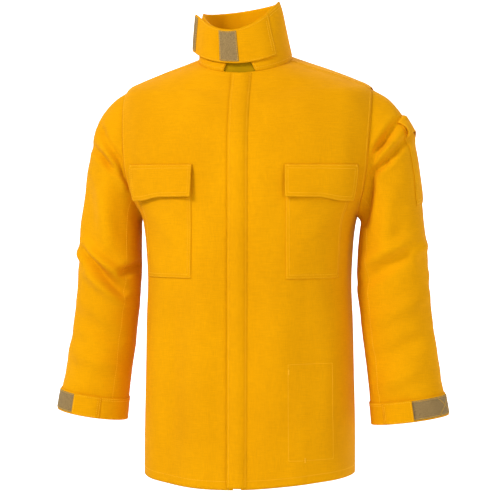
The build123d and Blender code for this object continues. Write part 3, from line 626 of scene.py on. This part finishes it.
for side, sign in SIDES:
    values = smooth_between(BODY_ROWS, EDGE_RUNS)
    inner = np.degrees(np.arctan2(FRONT_EDGE - values[3] * sign, values[2]))
    angle = (inner + (EDGE_ANGLES - inner) * across(0.0, 1.0, ACROSS)) * sign
    run = hem_fitted(angle, np.broadcast_to(EDGE_RUNS, angle.shape))
    angle, run = angle[::int(sign)], run[::int(sign)]
    reach = travelled(body_point(angle, run))
    from_edge = reach[-1] - reach if sign > 0 else reach
    beside_armhole = EDGE_RUNS > ARMHOLE_BOTTOM
    ridge = np.exp(-((from_edge / 7.0) ** 2)) * beside_armhole
    ridge = ridge + 0.5 * np.exp(-((from_edge / 4.0) ** 2)) * ~beside_armhole
    grid, n = on_body(body_point, angle, run, ridge)
    cloth_sheet(f"{side}_front", grid, [f"{side}_front_panel"])
    last = grid.shape[1] - 1.0
    low, top = len(BODY_ROWS_LOW) / last, (len(BODY_ROWS_LOW) + len(front_sweep) - 1) / last
    side_u = 1.0 - FRONT_SEAM if sign > 0 else FRONT_SEAM
    low_u = 1.0 - (1.0 - side_u) * 0.8 if sign > 0 else side_u * 0.8
    stitches(f"{side}_front_stitches", [
        seam(grid, n, side_u, np.linspace(low + 0.01, top - 0.01, 90)),
        seam(grid, n, low_u, np.linspace(0.0, low, 90)),
        seam(grid, n, side_u, np.linspace(top + 0.01, 1.0, 40)),
        seam(grid, n, np.linspace(0.0, 1.0, 90), FRONT_HEM),
    ])

# the back panel runs from armhole to armhole, under the yoke
back_sweep = np.concatenate([[0.0], np.linspace(FIRST_SWEEP, 180.0, 142)])
back_angle, back_run = armhole_edge(360.0 - back_sweep, "left")
back_angle = 180.0 - back_angle
below_yoke = back_run < YOKE_RUN
edge_angle = np.concatenate([np.full(len(BODY_ROWS_LOW), 90.0), back_angle[below_yoke]])
edge_run = np.concatenate([BODY_ROWS_LOW, back_run[below_yoke]])
angle = 180.0 + across(-1.0, 1.0, 2 * ACROSS) * edge_angle
run = hem_fitted(angle, np.broadcast_to(edge_run, angle.shape))
grid, n = on_body(body_point, angle, run)
cloth_sheet("back", grid, ["back_panel"])
back_lines = [seam(grid, n, np.linspace(0.0, 1.0, 160), BACK_HEM)]
back_lines += [seam(grid, n, u, np.linspace(0.0, 1.0, 120)) for u in (BACK_SEAM, 1.0 - BACK_SEAM)]

# the yoke is fanned from the centre back out to the armholes and the shoulder seams
over_angle, over_run = armhole_edge(np.linspace(180.0, SEAM_SWEEP, 9), "left")
yoke_angle = np.concatenate([back_angle[~below_yoke][:-1], 180.0 - over_angle, 180.0 - seam_angle[1:]])
yoke_run = np.concatenate([back_run[~below_yoke][:-1], over_run, seam_run[1:]])
yoke_run[0] = YOKE_RUN - YOKE_LAP
yoke_angle[0] = np.interp(yoke_run[0], back_run, back_angle)
climbed = travelled(body_point(180.0 - yoke_angle, yoke_run))
centre_run = yoke_run[0] + (NECK_RUN - yoke_run[0]) * climbed / climbed[-1]
part = across(-1.0, 1.0, 2 * ACROSS)
run = centre_run + (yoke_run - centre_run) * np.abs(part) ** 2.5
grid, n = on_body(body_point, 180.0 + part * yoke_angle, run, YOKE_LIFT)
cloth_sheet("yoke", grid, ["back_yoke"])
back_lines += [seam(grid, n, np.linspace(0.01, 0.99, 160), v) for v in YOKE_ROWS]
back_lines += [seam(grid, n, u, np.linspace(0.02, 0.98, 90)) for u in (YOKE_SEAM, 1.0 - YOKE_SEAM)]
stitches("back_stitches", back_lines)

# ---- front opening ----
FLY_HALF_WIDTH, FLY_TOP_RUN = 18.0, 84.0
FLY_RISE = 1.6  # the fly's outside lies this far over the surface that its inside follows
FLY_BEND = ((0.0160, -0.205, -0.36), (0.0060, -0.205, -0.36))
STRIP_X = (-16.5, -9.5)
STRIP_RUNS = ((-40.0, 30.0), (-330.0, -150.0), (-540.0, -360.0), (-740.0, -570.0))
ZIP_RUNS, ZIP_TAPE_X = (-742.0, 55.0), (3.1, 15.0)
TEETH, TOOTH_PITCH, TOOTH_FRONT = 318, 2.5, 1.3
TOOTH_FACES = ((0, 1, 3, 2), (4, 6, 7, 5), (0, 4, 5, 1), (2, 3, 7, 6), (0, 2, 6, 4), (1, 5, 7, 3))


def fly_offset(x):
    """The fly's inside lies on the cloth at its sewn edge and rises over the zip and closing strips."""
    part = (FLY_HALF_WIDTH - x) / (2.0 * FLY_HALF_WIDTH)
    rise = 3.4 + 3.2 * np.sin(np.pi * part) ** 2
    fall = 6.6 - 2.6 * np.cos(np.pi * part) ** 2
    return np.where(part < 0.5, rise, fall)


def napped_patch(name, points, n, kind, body, thickness, nodes):
    """A fuzzy patch of hook or loop tape, with its nap as small unevenness."""
    nap = RNG.normal(0.0, NAP, points.shape[:2])
    nap[:2] = nap[-2:] = 0.0
    nap[:, :2] = nap[:, -2:] = 0.0
    return cloth_object(name, points + n * nap[..., None], kind, body, nodes, thickness)


def first(index, node):
    """One CAD node holds all the strips or patches of a kind, so only the first replaces it."""
    return [node] if index == 0 else []


fly_x = across(-FLY_HALF_WIDTH, FLY_HALF_WIDTH, 26)
fly_runs = along(float(hem_run(0.0)) + 3.0, FLY_TOP_RUN, 240)
from_seam = FLY_HALF_WIDTH - fly_x
ripple = 0.5 * np.sin(fly_runs / 21.0) * np.sin(fly_runs / 57.0 + 1.0) * from_seam / 36.0
offset = fly_offset(fly_x) + FLY_RISE - BODY_OUT + ripple
offset = offset - 3.0 * np.exp(-(from_seam / 5.0) ** 2)
grid, n = on_body(front_point, fly_x, fly_runs, offset)
fly = cloth_sheet("fly", grid, ["storm_fly"], body=None, thickness=1.4)
lines = [seam(grid, n, u, np.linspace(0.004, 0.996, 400)) for u in (0.915, 0.10)]
bend((fly, stitches("fly_stitches", lines, None)), "coat_body", "storm_fly", *FLY_BEND)

for index, (low_run, high_run) in enumerate(STRIP_RUNS):
    x, runs = across(*STRIP_X, 12), along(low_run, high_run, int((high_run - low_run) / 1.5))
    grid, n = on_body(front_point, x, runs, 1.3)
    nodes = first(index, "fly_loop_strips")
    napped_patch(f"fly_loop_{index}", grid, n, LOOP_TAPE, "coat_body", 1.0, nodes)
    grid, n = on_body(front_point, x, runs, fly_offset(x) - 0.4 - BODY_OUT)
    nodes = first(index, "fly_hook_strips")
    napped_patch(f"fly_hook_{index}", grid, n, HOOK_TAPE, "storm_fly", 0.8, nodes)

for side, sign in SIDES:
    grid, n = lay(front_point, facing(sign, *ZIP_TAPE_X, 10) * sign, along(*ZIP_RUNS, 200), -0.3)
    cloth_sheet(f"{side}_tape", grid, [f"{side}_zip_tape"], kind=ZIP_TAPE, thickness=0.8)
    vertices, faces = [], []
    for number in range(TEETH):
        middle = ZIP_RUNS[0] + 1.6 + TOOTH_PITCH * number + (TOOTH_PITCH / 2.0 if sign > 0 else 0.0)
        base = len(vertices)
        for x_at, half in ((0.7 * sign, 0.5), (3.4 * sign, 0.85)):
            for run_at in (middle - half, middle + half):
                place = front_point(np.array([x_at]), np.array([run_at]))[0]
                vertices += [place + (0.0, back, 0.0) for back in (TOOTH_FRONT, -TOOTH_FRONT)]
        faces += [tuple(base + i for i in corners[::int(sign)]) for corners in TOOTH_FACES]
    obj = new_object(f"{side}_teeth", vertices, faces, METAL, "coat_body", smooth=False)
    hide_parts(f"{side}_zip_teeth")
for node in ("zip_slider", "zip_pull", "zip_end_box", "zip_top_stops"):
    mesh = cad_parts[node].data
    mesh.materials.clear()
    mesh.materials.append(METAL)

# ---- chest pockets ----
POCKET_ANGLES, POCKET_RUNS = (32.5, 68.0), (-402.0, -203.0)
POCKET_WIDTH, POCKET_LENGTH = 133.0, 199.0
FLAP_ANGLES, FLAP_RUNS = (31.9, 68.6), (-257.0, -198.0)
PATCH_ANGLES, PATCH_RUNS = ((37.0, 46.0), (54.5, 63.5)), (-249.0, -227.0)
FLAP_STAND = {"right": 7.0, "left": 5.5}
FLAP_HINGE = (0.1520, -0.1754, -0.1974)


def bag_offset(angle, run):
    """How far a pocket's bag stands off the front: flat at its seams, full in the middle."""
    u, v = part_of(np.abs(angle), *POCKET_ANGLES), part_of(run, *POCKET_RUNS)
    edge = np.minimum(np.minimum(u, 1 - u) * POCKET_WIDTH, v * POCKET_LENGTH)
    full = 1.0 - np.exp(-((edge / 5.0) ** 1.3))
    bulge = 3.0 * np.sin(np.pi * u) * np.sin(np.pi * v)
    sag = 0.9 * np.sin(np.pi * u) * np.sin(3.0 * np.pi * v + 0.5) + 0.5 * np.sin(5.0 * u + 9.0 * v)
    return 0.9 + (1.4 + bulge + sag * 0.8) * full


def flap_offset(run, side):
    """How far a pocket's flap stands off the front, more towards its free edge."""
    down = part_of(run, FLAP_RUNS[1], FLAP_RUNS[0])
    rise = 4.6 + FLAP_STAND[side] * down**0.8 - BODY_OUT + 1.6
    return 1.3 + (rise - 1.3) * np.clip(down / 0.16, 0, 1) ** 0.7


for side, sign in SIDES:
    angle, runs = facing(sign, *POCKET_ANGLES, 70) * sign, along(*POCKET_RUNS, 90)
    grid, n = on_body(body_point, angle, runs, bag_offset(angle, runs))
    cloth_sheet(f"{side}_pocket", grid, [f"{side}_chest_pocket"])
    stitches(f"{side}_pocket_stitches", edge_seams(grid, n, "lrb", 2.6, 7.6))

    angle = facing(sign, *FLAP_ANGLES, 64) * sign
    outer = part_of(np.abs(angle), 50.0, 62.0)
    low_run = FLAP_RUNS[0] + 1.5 - 5.0 * outer**2 * (3 - 2 * outer)
    runs = low_run + (FLAP_RUNS[1] - low_run) * along(0.0, 1.0, 34)
    grid, n = on_body(body_point, angle, runs, flap_offset(runs, side))
    flap_body = f"{side}_pocket_flap"
    flap = cloth_sheet(f"{side}_flap", grid, [flap_body], body=None, thickness=1.5)
    thread = stitches(f"{side}_flap_stitches", edge_seams(grid, n, "lrbt", 2.4, 7.4), None)
    hinge = np.array(FLAP_HINGE) * (sign, 1.0, 1.0)
    bend((flap, thread), "coat_body", flap_body, hinge - (0, 0, 0.002), hinge - (0, 0, 0.014))
    for index, limits in enumerate(PATCH_ANGLES):
        angle, runs = facing(sign, *limits, 34) * sign, along(*PATCH_RUNS, 24)
        grid, n = on_body(body_point, angle, runs, bag_offset(angle, runs) + 1.0)
        nodes = first(index, f"{side}_pocket_loop_patches")
        napped_patch(f"{side}_pocket_loop_{index}", grid, n, LOOP_TAPE, "coat_body", 0.95, nodes)
        grid, n = on_body(body_point, angle, runs, flap_offset(runs, side) - 1.55)
        nodes = first(index, f"{side}_flap_hook_patches")
        napped_patch(f"{side}_flap_hook_{index}", grid, n, HOOK_TAPE, flap_body, 0.9, nodes)

# ---- inside pocket, whose seams show outside, and short dense stitches at the pocket corners ----
INNER_ANGLES, INNER_RUNS = (33.5, 61.0), (-724.0, -552.0)
TACK_STITCHES, TACK_LENGTH, TACK_HALF_ANGLE = 17, 9.0, 0.28
angle, runs = across(*INNER_ANGLES, 40), along(*INNER_RUNS, 50)
grid, n = on_body(body_point, angle, runs, 0.05)
stitches("inside_pocket_stitches", edge_seams(grid, n, "lrbt", 0.5))
grid, n = on_body(body_point, angle, runs, INSIDE)
cloth_sheet("inside_pocket", grid, ["inner_pocket"], kind=LINING_PAINTED_LIGHT)


def tack(angle, run, offset):
    """A zigzag of dense stitches, upright, on the body."""
    sideways = TACK_HALF_ANGLE * np.where(np.arange(TACK_STITCHES) % 2, 1.0, -1.0)
    up = (np.linspace(0.0, 1.0, TACK_STITCHES) - 0.5) * TACK_LENGTH
    places = body_point(angle + sideways, run + up)
    away = (places - (0.0, CENTRE_Y, 0.0)) * (1, 1, 0)
    away /= np.linalg.norm(away, axis=1, keepdims=True)
    return places + away * (BODY_OUT + body_relief(places, away) + offset)[:, None], away


tacks = [tack(angle * sign, POCKET_RUNS[1] - 1.0, 3.4)
         for side, sign in SIDES for angle in (POCKET_ANGLES[0] + 0.9, POCKET_ANGLES[1] - 0.9)]
tacks.append(tack(INNER_ANGLES[0], INNER_RUNS[1] - 14.0, 0.3))
tacks.append(tack(sum(INNER_ANGLES) / 2.0 - 4.0, INNER_RUNS[0] + 1.0, 0.3))
obj = stitches("corner_tacks", tacks, pitch=1.5, length=1.9, radius=0.36)
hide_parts("bartacks")

for index, (start, end) in enumerate(((5.0, 89.0), (91.0, 179.5), (180.5, 269.0), (271.0, 355.0))):
    angle = across(start, end, 60)
    grid, n = on_body(body_point, angle, hem_run(angle) + along(1.0, 12.0, 5), INSIDE)
    cloth_sheet(f"hem_{index}", grid, first(index, "hem_facing"))

# ---- sleeves ----
TURNS = 128
BEND_WAY = np.array((0.97, 0.0, -0.24))  # across the armhole, outwards and down
BEND_START, BEND_END = 0.264, 0.292
TAB_SEAM, TAB_END = {"right": 113.0, "left": 127.0}, {"right": 68.0, "left": 80.0}
LOOP_OVERLAP, LOOP_END = 13.0, -2.0
SEAM_ANGLES = (132.0, 228.0)  # the seams between top sleeve and under sleeve


def bend_sleeve(side, sign, *pieces):
    """Bakes the pieces' places into their meshes, as bend does; they do not bend."""
    way = BEND_WAY * (sign, 1.0, 1.0)
    bend(pieces, "coat_body", f"{side}_sleeve", way * BEND_START, way * BEND_END)


def on_sleeve(side, angle, step, offset=0.0, close=False):
    """A grid on a sleeve's cloth with its folds, moved outwards by offset, and its normals."""
    aa, ss = np.broadcast_arrays(angle, step)
    wrapped = np.where(aa > 180.0, aa - 360.0, np.where(aa < -180.0, aa + 360.0, aa))
    points = sleeve_point(side, wrapped, ss)
    n = normals(points, close)
    lift = sleeve_relief(side, points, n, ss) + offset
    return points + n * lift[..., None], n


def cuff_tab_offset(side, angle):
    """How far a cuff tab stands off the sleeve, least at its seam."""
    part = part_of(angle, TAB_SEAM[side], TAB_END[side])
    return 4.4 + 2.4 * part**0.5 - 2.0 * np.exp(-((part / 0.12) ** 2))


for side, sign in SIDES:
    sleeve_body, tab_body = f"{side}_sleeve", f"{side}_cuff_tab"
    angle = np.linspace(-180.0, 180.0, TURNS, endpoint=False)[:, None] * sign
    step = np.concatenate([np.linspace(0.0, 3.0, 70)[:-1], np.linspace(3.0, SLEEVE_END, 170)])[None, :]
    tuck = -0.9 * np.clip(1.0 - step / 0.12, 0.0, 1.0) + 0.2
    grid, n = on_sleeve(side, angle, step, tuck, close=True)
    nodes = [f"{side}_top_sleeve", f"{side}_under_sleeve"]
    cloth = cloth_sheet(f"{side}_sleeve_cloth", grid, nodes, body=None, close=True)
    lines = []
    for middle in SEAM_ANGLES:
        here = facing(sign, middle - 1.0, middle + 1.0, 3)
        line, line_n = on_sleeve(side, here, along(0.3, CUFF_START, 220), 0.25)
        lines.append((line[1], line_n[1]))
    bend_sleeve(side, sign, cloth, stitches(f"{side}_sleeve_stitches", lines, None))

    grid, n = on_sleeve(side, angle, along(CUFF_START, SLEEVE_END + 0.02, 26), 1.9, close=True)
    cloth_sheet(f"{side}_cuff_band", grid, [f"{side}_cuff"], sleeve_body,
                thickness=1.5, close=True)
    looped, looped_n = [np.concatenate([values, values[:1]]) for values in (grid, n)]
    lines = [seam(looped, looped_n, np.linspace(0.0, 1.0, 200), v) for v in (0.07, 0.15, 0.93)]
    stitches(f"{side}_cuff_stitches", lines, sleeve_body)

    patch_steps = along(CUFF_START + 0.08, SLEEVE_END - 0.08, 36)
    angle = facing(sign, LOOP_END, TAB_END[side] + LOOP_OVERLAP, 110)
    grid, n = on_sleeve(side, angle, patch_steps, 3.2)
    napped_patch(f"{side}_cuff_loop", grid, n, LOOP_TAPE, sleeve_body, 1.0, [f"{side}_cuff_loop_patch"])
    lines = edge_seams(grid, n, "lrbt", 1.6)
    if side == "left":
        part = np.linspace(0.0, 1.0, 40)
        lines += [seam(grid, n, 0.05 + 0.35 * part, v) for v in (0.08 + 0.84 * part, 0.92 - 0.84 * part)]
    stitches(f"{side}_cuff_loop_stitches", lines, sleeve_body)

    angle = facing(sign, TAB_END[side], TAB_SEAM[side], 60)
    steps = along(CUFF_START + 0.02, SLEEVE_END - 0.02, 30)
    grid, n = on_sleeve(side, angle, steps, cuff_tab_offset(side, angle))
    tab = cloth_sheet(f"{side}_tab_cloth", grid, [tab_body], body=None, thickness=1.6)
    lines = edge_seams(grid, n, "lrbt", 2.6) + edge_seams(grid, n, "l" if sign < 0 else "r", 7.0)
    thread = stitches(f"{side}_tab_stitches", lines, None)
    sewn, free = (-1, -8) if sign > 0 else (0, 7)
    bend((tab, thread), sleeve_body, tab_body, grid[sewn].mean(0) * MM, grid[free].mean(0) * MM)
    angle = facing(sign, TAB_END[side] + 1.0, TAB_END[side] + LOOP_OVERLAP - 1.0, 24)
    grid, n = on_sleeve(side, angle, patch_steps, cuff_tab_offset(side, angle) - 1.65)
    napped_patch(f"{side}_cuff_hook", grid, n, HOOK_TAPE, tab_body, 0.8, [f"{side}_cuff_hook_patch"])

# ---- pocket on the wearer's left sleeve ----
SLEEVE_POCKET, SLEEVE_POCKET_STEPS, SLEEVE_FLAP_STEPS = (-50.0, 28.0), (1.85, 4.5), (1.7, 2.4)
angle, step = across(*SLEEVE_POCKET, 60), along(*SLEEVE_POCKET_STEPS, 80)
u, v = part_of(angle, *SLEEVE_POCKET), part_of(step, *SLEEVE_POCKET_STEPS)
edge = np.minimum(np.minimum(u, 1 - u) * 85.0, (1 - v) * 155.0)
offset = 1.0 + (1.7 + 1.5 * np.sin(np.pi * u) * np.sin(np.pi * v)) * (1.0 - np.exp(-edge / 4.0))
grid, n = on_sleeve("left", angle, step, offset)
cloth = cloth_sheet("arm_pocket", grid, ["sleeve_pocket"], body=None)
thread = stitches("arm_pocket_stitches", edge_seams(grid, n, "lrt", 2.4, 7.0), None)
bend_sleeve("left", 1.0, cloth, thread)


def arm_flap_offset(step):
    """How far the sleeve pocket's flap stands off the sleeve, more towards its free edge."""
    down = part_of(step, *SLEEVE_FLAP_STEPS)
    return 1.2 + (4.2 + 3.2 * down**0.8) * np.clip(down / 0.14, 0, 1) ** 0.7


angle = across(SLEEVE_POCKET[0] - 1.0, SLEEVE_POCKET[1] + 1.0, 56)
step = along(*SLEEVE_FLAP_STEPS, 30)
grid, n = on_sleeve("left", angle, step, arm_flap_offset(step))
flap = cloth_sheet("arm_flap", grid, ["sleeve_pocket_flap"], body=None, thickness=1.5)
lines = edge_seams(grid, n, "lrbt", 2.4) + edge_seams(grid, n, "b", 7.0)
thread = stitches("arm_flap_stitches", lines, None)
bend((flap, thread), "left_sleeve", "sleeve_pocket_flap", grid[:, 0].mean(0) * MM, grid[:, 7].mean(0) * MM)
angle, step = across(SLEEVE_POCKET[0] + 14.0, SLEEVE_POCKET[1] - 14.0, 60), along(1.98, 2.34, 24)
grid, n = on_sleeve("left", angle, step, 3.3)
obj = napped_patch("arm_loop", grid, n, LOOP_TAPE, None, 0.9, ["sleeve_pocket_loop_patch"])
bend_sleeve("left", 1.0, obj)
grid, n = on_sleeve("left", angle, step, arm_flap_offset(step) - 1.55)
napped_patch("arm_hook", grid, n, HOOK_TAPE, "sleeve_pocket_flap", 0.9, ["sleeve_flap_hook_patch"])

# ---- collar, throat tab and hanger loop ----
COLLAR_OUT = 3.6
THROAT_SLOPE = 13.0  # the collar ends slope back to the neck seam by this angle
TAB_ANGLES, TAB_RISES = (-86.0, 52.0), (0.2, 0.98)
TAB_PATCHES = (("tab_centre", "tab_centre_patch", (-24.0, 1.5)), ("tab_end", "tab_end_patch", (-85.0, -74.0)))


def on_collar(angle, rise, offset):
    """A grid on the collar, softly uneven towards its free edge, moved outwards, and its normals."""
    aa, rr = np.broadcast_arrays(angle, rise)
    points = collar_point(aa, rr)
    n = normals(points)
    wave = 1.3 * lumps(points, 85.0, 21) * np.sin(np.clip(rr, 0, 1) * math.pi * 0.5)
    return points + n * (offset + wave)[..., None], n


def tab_offset(angle):
    """The tab's outside lies on the collar at its seam and flares out at its free end."""
    part = part_of(angle, TAB_ANGLES[1], TAB_ANGLES[0])
    flare = 9.0 * np.clip((part - 0.8) / 0.2, 0, 1) ** 2
    sewn = 1.4 * np.exp(-((part / 0.05) ** 2))
    return COLLAR_OUT + 0.6 + 2.8 * part + flare + 1.7 - sewn


def loop_point(angle, height):
    around = np.radians(angle)
    return np.stack([26.0 * np.cos(around) - 2.0, 2.6 - 10.5 * np.sin(around), height], -1)


rise = along(0.0, 1.0, 40)
gap = COLLAR_GAP_ANGLE + THROAT_SLOPE * np.clip(1.0 - rise / 0.55, 0.0, 1.0)
angle = gap + (360.0 - 2.0 * gap) * across(0.0, 1.0, 220)
tuck = 1.2 * np.exp(-((rise / 0.06) ** 2))
grid, n = on_collar(angle, rise, COLLAR_OUT - tuck)
cloth_sheet("collar", grid, ["collar_outer"], thickness=1.7)
lines = edge_seams(grid, n, "lrt", 4.0, steps=160) + edge_seams(grid, n, "t", 8.0, steps=160)
lines.append(seam(grid, n, np.linspace(0.0, 1.0, 160), 0.07))
stitches("collar_stitches", lines)
grid, n = on_collar(angle, rise * 0.99, 1.6)
cloth_sheet("collar_inside", grid, ["collar_lining"], kind=LINING_PAINTED_LIGHT, thickness=1.5)

# an underlap inside the collar closes the throat behind the gap; its dark olive colour is painted shade
grid, n = on_collar(across(-26.0, 26.0, 50), along(-0.02, 0.6, 16), -1.5)
cloth_sheet("throat_underlap", grid, [], kind=UNDERLAP_PAINTED_SHADE)

angle = across(*TAB_ANGLES, 130)
grid, n = on_collar(angle, along(*TAB_RISES, 34), tab_offset(angle))
tab = cloth_sheet("throat_tab_cloth", grid, ["throat_tab"], body=None, thickness=1.7)
lines = edge_seams(grid, n, "lrbt", 2.6, steps=130) + edge_seams(grid, n, "r", 8.0)
thread = stitches("throat_tab_stitches", lines, None)
bend((tab, thread), "coat_body", "throat_tab", grid[-1].mean(0) * MM, grid[-10].mean(0) * MM)
for name, node, limits in TAB_PATCHES:
    angle, rise = across(*limits, 44), along(TAB_RISES[0] + 0.04, TAB_RISES[1] - 0.04, 40)
    grid, n = on_collar(angle, rise, tab_offset(angle) + 1.0)
    napped_patch(name, grid, n, LOOP_TAPE, "throat_tab", 1.0, [node])
    stitches(f"{name}_stitches", edge_seams(grid, n, "lrbt", 1.4), "throat_tab")
angle, rise = across(-84.0, -66.0, 30), along(0.3, 0.92, 34)
grid, n = on_collar(angle, rise, COLLAR_OUT + 0.9)
napped_patch("collar_hook", grid, n, HOOK_TAPE, "coat_body", 0.85, ["collar_hook_patch"])
grid, n = on_collar(angle, rise, tab_offset(angle) - 1.75)
napped_patch("tab_hook", grid, n, HOOK_TAPE, "throat_tab", 0.8, ["tab_hook_patch"])
grid, n = lay(loop_point, across(0.0, 180.0, 50), along(-5.0, 5.0, 8), 1.5)
cloth_sheet("neck_loop", grid, ["hanger_loop"], thickness=1.4)

# ---- camera, light, floor ----
TARGET = Vector((0.0, CENTRE_Y * MM, -0.355))
AZIMUTH, ELEVATION, DISTANCE, FRAME_WIDTH = math.radians(9.0), math.radians(2.0), 3.5, 0.92
WHITE = (1.0, 1.0, 1.0)
camera_data = bpy.data.cameras.new("camera")
camera_data.sensor_width = 36.0
camera_data.lens = camera_data.sensor_width * DISTANCE / FRAME_WIDTH
camera = bpy.data.objects.new("camera", camera_data)
bpy.context.scene.collection.objects.link(camera)
level = math.cos(ELEVATION)
away = Vector((math.sin(AZIMUTH) * level, -math.cos(AZIMUTH) * level, math.sin(ELEVATION)))
camera.location = TARGET + away * DISTANCE
camera.rotation_euler = (-away).to_track_quat("-Z", "Y").to_euler()
bpy.context.scene.camera = camera


def softbox(name, place, size, power):
    data = bpy.data.lights.new(name, "AREA")
    data.energy = power
    data.size = size
    light = bpy.data.objects.new(name, data)
    light.location = place
    light.rotation_euler = (TARGET - Vector(place)).to_track_quat("-Z", "Y").to_euler()
    bpy.context.scene.collection.objects.link(light)


softbox("key", (-2.0, -2.4, 1.7), 0.9, 90.0)
softbox("fill", (2.2, -2.6, 0.3), 1.6, 30.0)
softbox("back", (0.4, 2.6, 1.6), 2.0, 30.0)

world = bpy.data.worlds.new("studio")
world.use_nodes = True
background = world.node_tree.nodes["Background"]
background.inputs["Color"].default_value = (*WHITE, 1.0)
background.inputs["Strength"].default_value = 0.5
bpy.context.scene.world = world
bpy.context.scene.view_settings.view_transform = "Standard"

bpy.ops.mesh.primitive_circle_add(vertices=96, radius=3.2, fill_type="NGON", location=(0, 0, -1.5))
floor = bpy.context.active_object
floor.name = "floor"
floor.data.materials.append(shader("pale_floor", (0.86, 0.86, 0.86), 0.9)[0])
bpy.ops.mesh.primitive_plane_add(size=24.0, location=(0.0, 5.2, 0.3), rotation=(math.radians(90.0), 0.0, 0.0))
backdrop = bpy.context.active_object
backdrop.name = "backdrop"
backdrop_material, _, _, backdrop_bsdf = shader("white_backdrop", WHITE, 0.9)
backdrop_bsdf.inputs["Emission Color"].default_value = (*WHITE, 1.0)
backdrop_bsdf.inputs["Emission Strength"].default_value = 1.0
backdrop.data.materials.append(backdrop_material)
